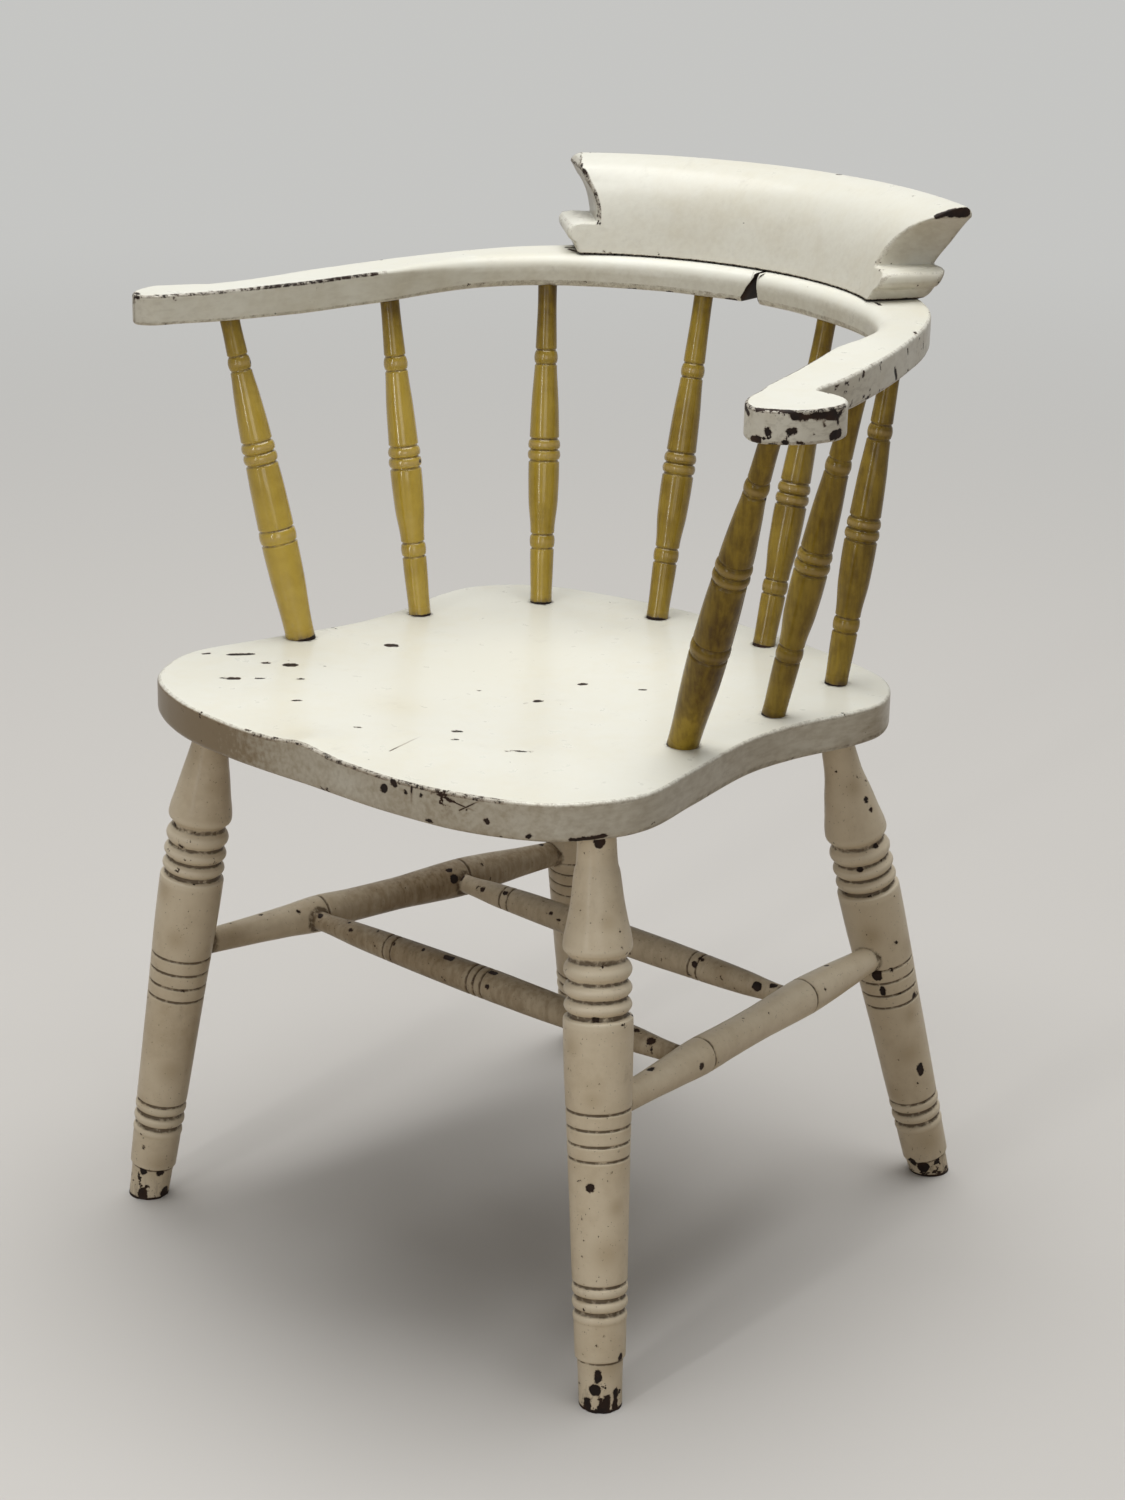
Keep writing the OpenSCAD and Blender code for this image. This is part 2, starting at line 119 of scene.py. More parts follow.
def smoothPath(points, steps):  # a curve through the points, with this many steps between two of them
    p = np.array(points, float)
    q = np.vstack([p[:1], p, p[-1:]])
    t = (np.arange(steps) / steps)[:, None]
    spans = []
    for a, b, c, d in zip(q[:-3], q[1:-2], q[2:-1], q[3:]):
        spans.append(curveAt(b, b + (c - a) / 6, c - (d - b) / 6, c, t))
    return np.vstack(spans + [p[-1:]])


def evenPath(path, count):  # count + 1 points, evenly spaced along it
    gone = np.concatenate([[0], np.cumsum(np.linalg.norm(np.diff(path, axis=0), axis=1))])
    wanted = np.linspace(0, gone[-1], count + 1)
    return np.stack([np.interp(wanted, gone, path[:, k]) for k in range(path.shape[1])], -1)


def outwardNormals(loop):  # of a closed anticlockwise outline
    step = np.roll(loop, -1, 0) - np.roll(loop, 1, 0)
    step /= np.linalg.norm(step, axis=1)[:, None]
    return np.stack([step[:, 1], -step[:, 0]], -1)


def gridFaces(rows, columns, closed=False):  # faces over rows of points, closed where each row is a ring
    r, c = np.meshgrid(np.arange(rows - 1), np.arange(columns if closed else columns - 1), indexing="ij")
    r, c = r.ravel(), c.ravel()
    d = (c + 1) % columns
    return np.stack([r * columns + c, r * columns + d, (r + 1) * columns + d, (r + 1) * columns + c], -1)


def linked(name, data):
    made = bpy.data.objects.new(name, data)
    bpy.context.scene.collection.objects.link(made)
    return made


def turnOutward(work):
    bmesh.ops.recalc_face_normals(work, faces=work.faces)
    if work.calc_volume() < 0:
        bmesh.ops.reverse_faces(work, faces=work.faces)


def solidMesh(name, sheets):
    # sheets of (points, faces) that meet along their edges become one closed mesh
    points, faces, gone = [], [], 0
    for p, f in sheets:
        points.append(p)
        faces.extend([[k + gone for k in face] for face in (f if isinstance(f, list) else f.tolist())])
        gone += len(p)
    mesh = bpy.data.meshes.new(name)
    mesh.from_pydata(np.vstack(points).tolist(), [], faces)
    work = bmesh.new()
    work.from_mesh(mesh)
    bmesh.ops.remove_doubles(work, verts=work.verts, dist=2e-6)
    bmesh.ops.dissolve_degenerate(work, edges=work.edges, dist=1e-6)
    turnOutward(work)
    loose = sum(1 for e in work.edges if len(e.link_faces) != 2)
    work.to_mesh(mesh)
    work.free()
    mesh.shade_smooth()
    if loose:
        print(name, "open or doubled edges:", loose)
    return linked(name, mesh)


def readPoints(mesh):
    points = np.empty(len(mesh.vertices) * 3, np.float32)
    mesh.vertices.foreach_get("co", points)
    return points.reshape(-1, 3).astype(float)


def writePoints(mesh, points):
    mesh.vertices.foreach_set("co", points.astype(np.float32).ravel())
    mesh.update()


def readField(mesh, key):
    values = np.zeros(len(mesh.vertices), np.float32)
    if key in mesh.attributes:
        mesh.attributes[key].data.foreach_get("value", values)
    return values.astype(float)


def writeField(mesh, key, values):
    made = mesh.attributes.get(key) or mesh.attributes.new(key, "FLOAT", "POINT")
    made.data.foreach_set("value", np.asarray(values, np.float32))


def addDirt(mesh, dirt):  # the darker of the old dirt and the new
    writeField(mesh, "hollow", np.maximum(readField(mesh, "hollow"), dirt))


def nearness(points, first, last, size):
    # how far inside a knock of this size each point is, in mm; the knock runs from first to last
    a, b = np.array(first, float) * mm, np.array(last, float) * mm
    along = b - a
    share = np.clip((points - a) @ along / max(along @ along, 1e-12), 0, 1)
    return size - np.linalg.norm(points - a - share[:, None] * along, axis=1) / mm


def knockField(points, knocks):
    field = np.full(len(points), unmarked)
    for first, size, last in knocks:
        field = np.maximum(field, nearness(points, first, last, size))
    return field


def knocksFrom(table):  # rows of first x, y, z, last x, y, z, size become (first, size, last)
    return [(np.array(row[:3], float), row[6], np.array(row[3:6], float)) for row in table]


def axisFrame(start, end):  # the direction from start to end, and two directions square to it
    along = np.array(end, float) - np.array(start, float)
    along /= np.linalg.norm(along)
    side = np.array([1.0, 0, 0]) if abs(along[0]) < 0.9 else np.array([0, 1.0, 0])
    side = side - along * (side @ along)
    side /= np.linalg.norm(side)
    return along, side, np.cross(along, side)


# the chair's measures, shared by its pieces, in mm in the chair's own place
seatPlan = {
    "height": 441, "thick": 28, "slope": math.radians(1.2), "depth": 471, "frontY": -267,
    "frontHalf": 223, "waistHalf": 197, "backHalf": 209,
}
armPlan = {
    "bottom": 681, "thick": 24, "twist": math.radians(4.5), "centreY": -2, "jointAngle": 3, "handY": -58,
    "heart": (-9, -23),  # the bow's centre in the frame
}


def seatTop(y):
    return seatPlan["height"] - (y - seatPlan["frontY"]) * math.tan(seatPlan["slope"])


def seatUnder(y):
    return seatTop(y) - seatPlan["thick"]


legPlan = {  # x and y at the seat, x and y on the floor
    "leg_front_": ((188, -176), (235, -211)),
    "leg_back_": ((134, 155), (186, 251)),
}
legEnds = {}
for side, sideName in ((-1, "left"), (1, "right")):
    for row, ((x, y), (u, v)) in legPlan.items():
        legEnds[row + sideName] = (np.array([side * x, y, seatUnder(y)]), np.array([side * u, v, 0.0]))


def legAt(name, z):
    top, foot = legEnds[name]
    return foot + (top - foot) * z / top[2]


railHeights = {"front": 209, "back": 196}  # where the side stretchers' lines meet the legs' own
sideEnds = {}
for s in ("left", "right"):
    sideEnds[s] = (legAt("leg_front_" + s, railHeights["front"]), legAt("leg_back_" + s, railHeights["back"]))


def onSide(s, share):
    return sideEnds[s][0] + (sideEnds[s][1] - sideEnds[s][0]) * share


spindleEnds = {  # x and y on the seat, x and y under the bow
    "post_left": ((-195, -81), (-246, -104)), "spindle_left_front": ((-179, 34), (-217, 37)),
    "spindle_left_middle": ((-139, 132), (-166, 163)), "spindle_left_back": ((-47, 167), (-57, 224)),
    "post_right": ((172, -67), (262, -97)), "spindle_right_front": ((172, 36), (225, 46)),
    "spindle_right_middle": ((156, 132), (169, 165)), "spindle_right_back": ((57, 171), (60, 229)),
}


# the three paints; a chip or a speck begins where its noise passes the level; the soiled colour stands for
# dirt and painted shade together, the rubbed colour for worn paint and partly a painted highlight
whiteGloss = {
    "name": "whiteGloss", "paint": (0.80, 0.79, 0.70), "aged": (0.74, 0.68, 0.50), "ageing": 0.30,
    "soiledAndShaded": (0.26, 0.20, 0.125), "rubbedAndHighlit": (0.80, 0.79, 0.70), "rubbedAndHighlitShare": 0.0,
    "gloss": 0.24, "coat": 0.1, "coatRough": 0.16, "dirt": 0.7, "brush": (1.0, 0.25, 1.0),
    "chipScale": 95, "chipLevel": 0.745, "edgeWear": 0.075, "hollowWear": 0.0, "speckLevel": 0.785,
    "scratches": [  # first and last place in mm, half width
        ((-46, 36, 435), (-54, 122, 434), 0.8), ((33, -248, 440), (25, -208, 440), 0.45),
        ((90, -286, 441), (90, -287, 424), 1.1), ((-29, -290, 432), (-29, -290, 412), 0.55),
        ((111, -283, 437), (141, -276, 430), 0.4), ((142, -275, 438), (128, -279, 429), 0.35),
        ((-138, -267, 432), (-139, -267, 424), 0.5)],
}
creamEggshell = {
    "name": "creamEggshell", "paint": (0.69, 0.60, 0.45), "aged": (0.50, 0.405, 0.27), "ageing": 0.75,
    "soiledAndShaded": (0.20, 0.14, 0.075), "rubbedAndHighlit": (0.76, 0.68, 0.53), "rubbedAndHighlitShare": 0.45,
    "gloss": 0.34, "coat": 0.1, "coatRough": 0.2, "dirt": 1.2, "brush": (1.0, 1.0, 0.2),
    "chipScale": 120, "chipLevel": 0.712, "edgeWear": 0.035, "hollowWear": 0.07, "speckLevel": 0.683,
    "scratches": [],
}
mustardGloss = {
    "name": "mustardGloss", "paint": (0.52, 0.36, 0.04), "aged": (0.31, 0.195, 0.008), "ageing": 0.8,
    "soiledAndShaded": (0.062, 0.029, 0.001), "rubbedAndHighlit": (0.56, 0.40, 0.17), "rubbedAndHighlitShare": 0.55,
    "gloss": 0.2, "coat": 1.0, "coatRough": 0.13, "dirt": 0.6, "brush": (1.0, 1.0, 0.15),
    "chipScale": 120, "chipLevel": 0.775, "edgeWear": 0.0, "hollowWear": 0.03, "speckLevel": 0.77,
    "scratches": [],
}
bareWood = {"dark": (0.010, 0.0055, 0.004), "light": (0.038, 0.018, 0.010), "rough": 0.62}
grimeColour = (0.085, 0.055, 0.030)
chipRim = (0.16, 0.10, 0.055)  # the stained line round a chip
raggedScale, raggedReach = 230.0, 3.4  # the ragged border of a knock, alike in the paint and in the relief


def openMaterial(name):
    material = bpy.data.materials.new(name)
    material.use_nodes = True
    material.node_tree.nodes.clear()
    return material, Flow(material.node_tree)


def paintFinish(look):
    material, flow = openMaterial(look["name"])

    def noise(scale, detail=2.0, rough=0.5, vector=None):
        return flow.node("ShaderNodeTexNoise", {}, {
            "Vector": vector or place, "Scale": scale, "Detail": detail, "Roughness": rough})

    def field(key):
        return flow.node("ShaderNodeAttribute", {"attribute_name": key}, {}, "Fac")

    place = flow.node("ShaderNodeTexCoord", {}, {}, "Object")
    stretched = place.vector("MULTIPLY", place, look["brush"])
    knock, line, hollow, proud, scuffed, stain, soilAndShade = (
        field(k) for k in ("knock", "line", "hollow", "proud", "scuff", "stain", "soilAndShade"))

    # knocks, scratches and worn lines are measured in mm from their ragged borders
    ragged = noise(raggedScale, 3, 0.6) - 0.5
    crumb = noise(1100, 2, 0.6) - 0.5
    inside = knock + ragged * raggedReach + crumb * 1.6
    for first, last, wide in look["scratches"]:
        run = [b - a for a, b in zip(first, last)]
        gap = place.vector("SUBTRACT", place, [v * mm for v in first])
        share = flow.node("ShaderNodeVectorMath", {"operation": "DOT_PRODUCT"}, {0: gap, 1: run}, 1)
        share = flow.node("ShaderNodeClamp", {}, {"Value": share * (1 / (mm * sum(v * v for v in run)))})
        nearest = flow.vector("MULTIPLY", [v * mm for v in run], share)
        away = flow.node("ShaderNodeVectorMath", {"operation": "DISTANCE"}, {0: gap, 1: nearest}, 1)
        inside = inside.top(wide - away * (1 / mm) + ragged * wide * 1.1)
    inside = inside.top(line + ragged * 1.5 + crumb * 1.1)
    knocked = inside.rise(-0.1, 0.1)
    flakes = noise(look["chipScale"], 4, 0.62) + proud * look["edgeWear"] + hollow * look["hollowWear"]
    flakes = flakes + scuffed * 0.2 + crumb * 0.012
    flaked = flakes.rise(look["chipLevel"], look["chipLevel"] + 0.006)
    specks = (noise(560, 3.0, 0.62) + scuffed * 0.08).rise(look["speckLevel"], look["speckLevel"] + 0.02)
    bare = knocked.top(flaked).top(specks * 0.85)
    rim = inside.rise(-0.8, 0.0).top(flakes.rise(look["chipLevel"] - 0.025, look["chipLevel"]))

    # paint that aged in clouds, with brush lines, dirt in the hollows, a dark soiled colour that is dirt and
    # painted shade, and lighter high places that are rubbed paint and partly a painted highlight
    clouds = noise(9, 4, 0.6)
    mottle = noise(60, 5, 0.65)
    brushed = noise(260, 3, 0.55, stretched)
    tired = (clouds * 0.6 + mottle * 0.4).rise(0.38, 0.72) * look["ageing"]
    paint = tired.top(stain).blend((*look["paint"], 1), (*look["aged"], 1))
    streaks = (brushed * 0.7 + mottle * 0.5).rise(0.42, 0.8)
    # the soil field darkens the paint towards the soiled colour: dirt, and painted shade on steep and shaded
    # faces
    dirtAndShade = soilAndShade * (0.52 + clouds.rise(0.35, 0.65) * 0.25 + streaks * 0.3)
    paint = dirtAndShade.blend(paint, (*look["soiledAndShaded"], 1))
    # high places lighter: rubbed paint, and partly a painted highlight on the beads
    rubbedAndHighlit = (proud * (mottle + brushed * 0.5)).rise(0.15, 0.75) * look["rubbedAndHighlitShare"]
    paint = rubbedAndHighlit.blend(paint, (*look["rubbedAndHighlit"], 1))
    smutch = (noise(34, 6, 0.72) * 0.75 + brushed * 0.25).rise(0.56, 0.78) * (0.22 * look["dirt"])
    film = (hollow * (mottle * 1.3 + ragged * 2.6 + 0.25) * look["dirt"]).rise(0.1, 0.9) * 0.86
    paint = smutch.top(film).top(scuffed * brushed.rise(0.52, 0.62) * 0.35).blend(paint, (*grimeColour, 1))
    paint = (rim * 0.55).blend(paint, (*chipRim, 1))
    wood = noise(75, 4, 0.6).rise(0.35, 0.75).blend((*bareWood["dark"], 1), (*bareWood["light"], 1))
    colour = bare.blend(paint, wood)

    rough = look["gloss"] + mottle * 0.10 + hollow * 0.25 + smutch * 0.5 + scuffed * 0.2
    rough = bare * (bareWood["rough"] - rough) + rough
    relief = (brushed * 0.030 + mottle * 0.10 + noise(24, 2, 0.5) * 0.16
              - bare * 0.34 + noise(520, 2, 0.6) * bare * 0.12)

    bump = flow.node("ShaderNodeBump", {}, {"Strength": 1.0, "Distance": 0.001, "Height": relief})
    shader = flow.node("ShaderNodeBsdfPrincipled", {}, {
        "Base Color": colour, "Roughness": rough, "Normal": bump,
        "Coat Weight": (1 - bare) * (1 - soilAndShade) * look["coat"], "Coat Roughness": look["coatRough"],
        "IOR": 1.42, "Specular IOR Level": 0.24})
    flow.node("ShaderNodeOutputMaterial", {}, {"Surface": shader})
    return material


def steelFinish():
    material, flow = openMaterial("oldSteel")
    place = flow.node("ShaderNodeTexCoord", {}, {}, "Object")
    patches = flow.node("ShaderNodeTexNoise", {}, {"Vector": place, "Scale": 420.0, "Detail": 4.0})
    rust = patches.rise(0.42, 0.6)
    colour = rust.blend((0.22, 0.21, 0.20, 1), (0.10, 0.035, 0.012, 1))
    bump = flow.node("ShaderNodeBump", {}, {"Strength": 0.6, "Distance": 0.0002, "Height": rust})
    shader = flow.node("ShaderNodeBsdfPrincipled", {}, {
        "Base Color": colour, "Roughness": rust * 0.4 + 0.4, "Metallic": 1 - rust * 0.8, "Normal": bump})
    flow.node("ShaderNodeOutputMaterial", {}, {"Surface": shader})
    return material


finishes = {"white_paint": paintFinish(whiteGloss), "cream_paint": paintFinish(creamEggshell),
            "yellow_paint": paintFinish(mustardGloss), "old_steel": steelFinish()}
print("finishes made:", ", ".join(finishes))


def geometryTree(name, floats, others=()):  # a new tree with named inputs
    tree = bpy.data.node_groups.new(name, "GeometryNodeTree")
    face = tree.interface
    face.new_socket("Geometry", in_out="OUTPUT", socket_type="NodeSocketGeometry")
    face.new_socket("Geometry", in_out="INPUT", socket_type="NodeSocketGeometry")
    for key, value in floats.items():
        kind = "NodeSocketInt" if isinstance(value, int) else "NodeSocketFloat"
        face.new_socket(key, in_out="INPUT", socket_type=kind).default_value = value
    for key, kind in others:
        face.new_socket(key, in_out="INPUT", socket_type=kind)
    entry = tree.nodes.new("NodeGroupInput")
    return tree, Flow(tree), {s.name: Flow(tree, s) for s in entry.outputs if s.name}


def applyTree(piece, tree, values):
    stack = piece.modifiers.new(tree.name, "NODES")
    stack.node_group = tree
    sockets = [s for s in tree.interface.items_tree if s.item_type == "SOCKET" and s.in_out == "INPUT"]
    names = {s.name: s.identifier for s in sockets}
    for key, value in values.items():
        stack[names[key]] = value
    graph = bpy.context.evaluated_depsgraph_get()
    made = piece.evaluated_get(graph)
    plain = bpy.data.meshes.new_from_object(made, preserve_all_data_layers=True, depsgraph=graph)
    piece.modifiers.clear()
    piece.data = plain


def closeTree(tree, flow, body, push, material):
    # moves the skin along its normals by push, then ends the tree
    offset = flow.vector("SCALE", flow.node("GeometryNodeInputNormal"))
    tree.links.new(push.socket, offset.socket.node.inputs["Scale"])
    body = flow.node("GeometryNodeSetPosition", {}, {"Geometry": body, "Offset": offset})
    body = flow.node("GeometryNodeSetShadeSmooth", {}, {"Geometry": body})
    body = flow.node("GeometryNodeRealizeInstances", {}, {"Geometry": body})
    body = flow.node("GeometryNodeSetMaterial", {}, {"Geometry": body, **material})
    tree.links.new(body.socket, tree.nodes.new("NodeGroupOutput").inputs[0])
    return tree


def turningTree():
    # sweeps a ring along the marked axis; each axis point carries its own radius
    tree, flow, given = geometryTree("turning", {
        "Sides": 64, "Wobble": 0.0003, "Wobble Size": 0.03, "Seed": 0.0})
    axis = flow.node("GeometryNodeMeshToCurve", {}, {"Mesh": given["Geometry"]})
    radius = flow.node("GeometryNodeInputNamedAttribute", {"data_type": "FLOAT"}, {"Name": "turnRadius"})
    ring = flow.node("GeometryNodeCurvePrimitiveCircle", {}, {"Resolution": given["Sides"], "Radius": 1.0})
    body = flow.node("GeometryNodeCurveToMesh", {}, {
        "Curve": axis, "Profile Curve": ring, "Scale": radius, "Fill Caps": True})
    place = flow.node("GeometryNodeInputPosition")
    wave = flow.node("ShaderNodeTexNoise", {"noise_dimensions": "4D"}, {
        "Vector": place, "W": given["Seed"], "Detail": 1.0,
        "Scale": flow.math("DIVIDE", 1.0, given["Wobble Size"])})
    return closeTree(tree, flow, body, (wave - 0.5) * given["Wobble"], {})


def weatherTree():
    # uneven old paint: slow lumps over everything, and shallow dents where the paint is knocked off
    tree, flow, given = geometryTree("weathering", {
        "Lump Depth": 0.0005, "Lump Size": 0.05, "Chip Depth": 0.00035}, [("Material", "NodeSocketMaterial")])
    place = flow.node("GeometryNodeInputPosition")
    knock = flow.node("GeometryNodeInputNamedAttribute", {"data_type": "FLOAT"}, {"Name": "knock"})
    lumps = flow.node("ShaderNodeTexNoise", {}, {
        "Vector": place, "Scale": flow.math("DIVIDE", 1.0, given["Lump Size"]), "Detail": 2.0})
    ragged = flow.node("ShaderNodeTexNoise", {}, {
        "Vector": place, "Scale": raggedScale, "Detail": 3.0, "Roughness": 0.6})
    chip = (knock + (ragged - 0.5) * raggedReach).rise(-0.6, 0.6)
    push = (lumps - 0.5) * given["Lump Depth"] - chip * given["Chip Depth"]
    return closeTree(tree, flow, given["Geometry"], push, {"Material": given["Material"]})


turning = turningTree()
weathering = weatherTree()


def finishPiece(piece, nodeName, slotName, knocks, lumps=0.0005, chips=0.00035):
    # weathers a piece and puts it in its node's place; fields that it doesn't have yet are left plain
    mesh = piece.data
    writeField(mesh, "knock", knockField(readPoints(mesh), knocks))
    if "line" not in mesh.attributes:
        writeField(mesh, "line", np.full(len(mesh.vertices), unmarked))
    for key in ("hollow", "proud", "scuff", "stain", "soilAndShade"):
        if key not in mesh.attributes:
            writeField(mesh, key, np.zeros(len(mesh.vertices)))
    applyTree(piece, weathering, {"Lump Depth": lumps, "Chip Depth": chips, "Material": finishes[slotName]})
    piece.name = nodeName + "_painted"
    piece.data.name = piece.name
    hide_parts(nodeName)
    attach(piece, "root")
    print(piece.name, "triangles:", sum(len(p.vertices) - 2 for p in piece.data.polygons))


# turned pieces: legs, stretchers and spindles
def smoothRadius(stations, places):  # monotone between its stations, so nothing swells by itself
    x, y = np.array(stations, float).T
    slope = np.diff(y) / np.diff(x)
    tangent = np.zeros(len(x))
    inner = slope[:-1] * slope[1:] > 0
    tangent[1:-1][inner] = 2 * slope[:-1][inner] * slope[1:][inner] / (slope[:-1] + slope[1:])[inner]
    tangent[0], tangent[-1] = slope[0], slope[-1]
    k = np.clip(np.searchsorted(x, places, "right") - 1, 0, len(x) - 2)
    h = x[k + 1] - x[k]
    t = (places - x[k]) / h
    return ((1 + 2 * t) * (1 - t) ** 2 * y[k] + t * (1 - t) ** 2 * h * tangent[k]
            + t * t * (3 - 2 * t) * y[k + 1] + t * t * (t - 1) * h * tangent[k + 1])


def turnedPiece(name, start, end, pattern, sides, seed, fine=0.7, coarse=3.0):
    # start and end in mm; the pattern's stations, beads and cuts count from start towards end,
    # with rings every fine mm over beads, cuts and steps and every coarse mm elsewhere
    first, last = pattern["from"], pattern["to"]
    busy = [(a - 2, b + 2) for a, b, _ in pattern["beads"]]
    busy += [(at - wide, at + wide) for at, wide, _ in pattern["cuts"]]
    busy += [(at - 3, at + 3) for at in pattern.get("steps", [])]
    places = [first]
    while places[-1] < last:
        inside = any(a <= places[-1] + fine <= b for a, b in busy)
        places.append(min(places[-1] + (fine if inside else coarse), last))
        ahead = [a for a, b in busy if places[-2] < a < places[-1]]
        if ahead and not inside:
            places[-1] = min(ahead)
    places = np.array(places)
    radius = smoothRadius(pattern["stations"], places)
    for a, b, rise in pattern["beads"]:
        share = np.clip((places - a) / (b - a), 0, 1)
        radius += rise * np.sin(np.pi * share) ** 0.8  # fuller than a half round
    cut = np.zeros(len(places))
    for at, wide, deep in pattern["cuts"]:
        share = np.minimum(np.clip(1 - np.abs(places - at) / (wide / 2), 0, 1) * 1.5, 1)
        radius -= deep * share
        cut = np.maximum(cut, share)
    nearby = [np.interp(places + d, places, radius) for d in np.linspace(-7, 7, 15)]
    around = np.array(nearby).mean(0)  # dirt settles below this radius; above it the paint is worn, and lighter in part as a painted highlight
    along, _, _ = axisFrame(start, end)
    line = (np.array(start) + places[:, None] * along - middle) * mm
    mesh = bpy.data.meshes.new(name)
    mesh.from_pydata(line.tolist(), [(k, k + 1) for k in range(len(places) - 1)], [])
    writeField(mesh, "turnRadius", radius * mm)
    writeField(mesh, "hollow", np.maximum(cut * 0.9, np.clip((around - radius - 0.3) / 2.4, 0, 1) ** 1.4))
    writeField(mesh, "proud", np.clip((radius - around) / 1.1, 0, 1))
    writeField(mesh, "gone", places)
    piece = linked(name, mesh)
    applyTree(piece, turning, {"Sides": sides, "Wobble": 0.0004, "Wobble Size": 0.04, "Seed": float(seed)})
    work = bmesh.new()
    work.from_mesh(piece.data)
    turnOutward(work)
    work.to_mesh(piece.data)
    work.free()
    return piece


def turnedKnocks(start, end, pattern, knocks):
    # a knock is (distance along, degrees round, size, reach along): places on the piece's own skin
    along, side, other = axisFrame(start, end)
    made = []
    for distance, degrees, size, *reach in knocks:
        radius = float(smoothRadius(pattern["stations"], np.array([float(distance)]))[0])
        out = side * math.cos(math.radians(degrees)) + other * math.sin(math.radians(degrees))
        a = np.array(start) + along * distance + out * radius - middle
        made.append((a, size, a + along * (reach[0] if reach else 0)))
    return made


def softSpots(points, marks):  # stains with soft edges; a mark is (first place, size, last place), in mm
    spots = np.zeros(len(points))
    for first, size, last in marks:
        heart = (first + last) / 2 * mm
        spots = np.maximum(spots, np.exp(-(np.linalg.norm(points - heart, axis=1) / mm / size) ** 2))
    return spots * 0.75


def jointDirt(points, places):  # dark where another piece goes in; a place is (point in mm, radius in mm)
    dirt = np.zeros(len(points))
    for at, radius in places:
        gap = np.linalg.norm(points - (np.array(at) - middle) * mm, axis=1) / mm - radius
        dirt = np.maximum(dirt, np.clip(1 - np.abs(gap) / 3.5, 0, 1))
    return dirt


legLook = {
    "radius": 24, "sides": 88, "footWear": 26,
    "sole": 1.6, "sawn": 10, "lift": 0.12,  # the foot's bare rim, its part sawn level, its gap to the floor
    "neck": {"leg_front_left": 11.4, "leg_front_right": 13.4, "leg_back_left": 11.4, "leg_back_right": 11.4},
    "soilAndShade": {"leg_front_left": 0.08, "leg_front_right": 0.0, "leg_back_left": 0.3, "leg_back_right": 0.12},
    "drop": {"leg_front_left": -4, "leg_front_right": -12, "leg_back_left": 6, "leg_back_right": 10},
    # stains and knocks: distance down, degrees round, size, reach
    "stains": [(292, 35, 11, 14), (262, 15, 7, 8), (182, 60, 9, 12), (60, 30, 8, 8), (330, 95, 10, 10),
               (205, -20, 9, 9), (150, 100, 9, 4), (380, 30, 12, 6)],
    "knocks": {
        "leg_front_left": [(100, 110, 2), (112, 75, 3.5), (125, 95, 2.5), (134, 95, 3), (369, 75, 2),
                           (391, 70, 3), (390, 20, 3), (409, 64, 4, 4), (408, -8, 4, 3)],
        "leg_front_right": [(4, 42, 4, 6), (131, 55, 2.5), (251, 66, 3.4), (388, 55, 3, 3), (402, 4, 2.5, 4),
                            (400, 64, 4.5), (410, 89, 3.5, 3), (407, 32, 3, 6), (377, -4, 2.5),
                            (412, 50, 2.5, 5), (411, 8, 2.5, 5), (273, 84, 0.2, 2), (283, 88, 0.35, 2),
                            (289, 81, 0.3, 2), (301, 88, 0.25, 2), (308, 84, 0.1, 1), (365, 56, 0.4, 2),
                            (358, 40, 0.3, 1)],
        "leg_back_right": [(77, 6, 2.5), (86, 3, 2), (131, 56, 2.5), (116, 8, 2, 2), (224, 68, 4.5),
                           (237, 63, 2.5, 3), (253, -5, 3), (221, 37, 2), (314, 18, 3, 5), (407, 62, 5),
                           (402, 92, 4)],
        "leg_back_left": [(110, 120, 3), (228, 150, 3), (405, 100, 4), (408, 10, 4, 3)],
    },
}


def legPattern(length, drop, neck):  # drop moves the whole pattern down the leg
    r = legLook["radius"]
    taper = [(44, max(0.6 * r, neck + 2.4)), (65, 0.77 * r), (80, 0.885 * r), (92, 0.985 * r), (96.5, r),
             (99, 0.975 * r), (102, 0.87 * r), (105, 0.82 * r), (144, 0.82 * r)]
    shaft = [(145, 0.84 * r), (146.5, 0.995 * r), (148, 1.01 * r), (175, r), (210, 0.955 * r), (252, 0.9 * r),
             (324, 0.82 * r), (360, 0.775 * r), (390, 0.74 * r), (391.5, 0.735 * r), (392.5, 0.672 * r)]
    beads = [(106, 119.5, 4.0), (120.5, 131.5, 4.0), (132.5, 143, 3.9),
             (338.2, 343.6, 0.5), (348.4, 354, 0.7), (359, 364, 0.5)]
    cuts = [(211, 2.8, 1.4), (222.5, 2.8, 1.4), (234, 2.8, 1.4), (245, 2.8, 1.4),
            (336.5, 3.2, 1.6), (346, 4.6, 2.1), (356.5, 4.8, 2.2), (392.8, 2.6, 0.5)]
    return {
        "from": -5, "to": length + 0.5,
        "stations": [(-6, neck - 0.6), (10, neck), (27, neck + 1.0)]
                    + [(at + drop, radius) for at, radius in taper + shaft] + [(460, 0.6 * r)],
        "beads": [(first + drop, last + drop, rise) for first, last, rise in beads],
        "cuts": [(at + drop, wide, deep) for at, wide, deep in cuts],
        "steps": [at + drop for at in (97, 104, 146, 392)],
    }


def sawnFlat(points, gone, length, along):
    # slides a foot's last rings along the leg until the foot stands flat
    sawn = legLook["sawn"]
    last = gone > length - sawn
    level = 0.96 * sawn * mm
    wanted = np.clip((length + 0.5 - gone[last]) / (sawn + 0.5), 0, 1) * level + legLook["lift"] * mm
    share = np.clip(1 - wanted / level, 0, 1) ** 0.5
    points[last] += along * ((wanted - points[last, 2]) * share / along[2])[:, None]


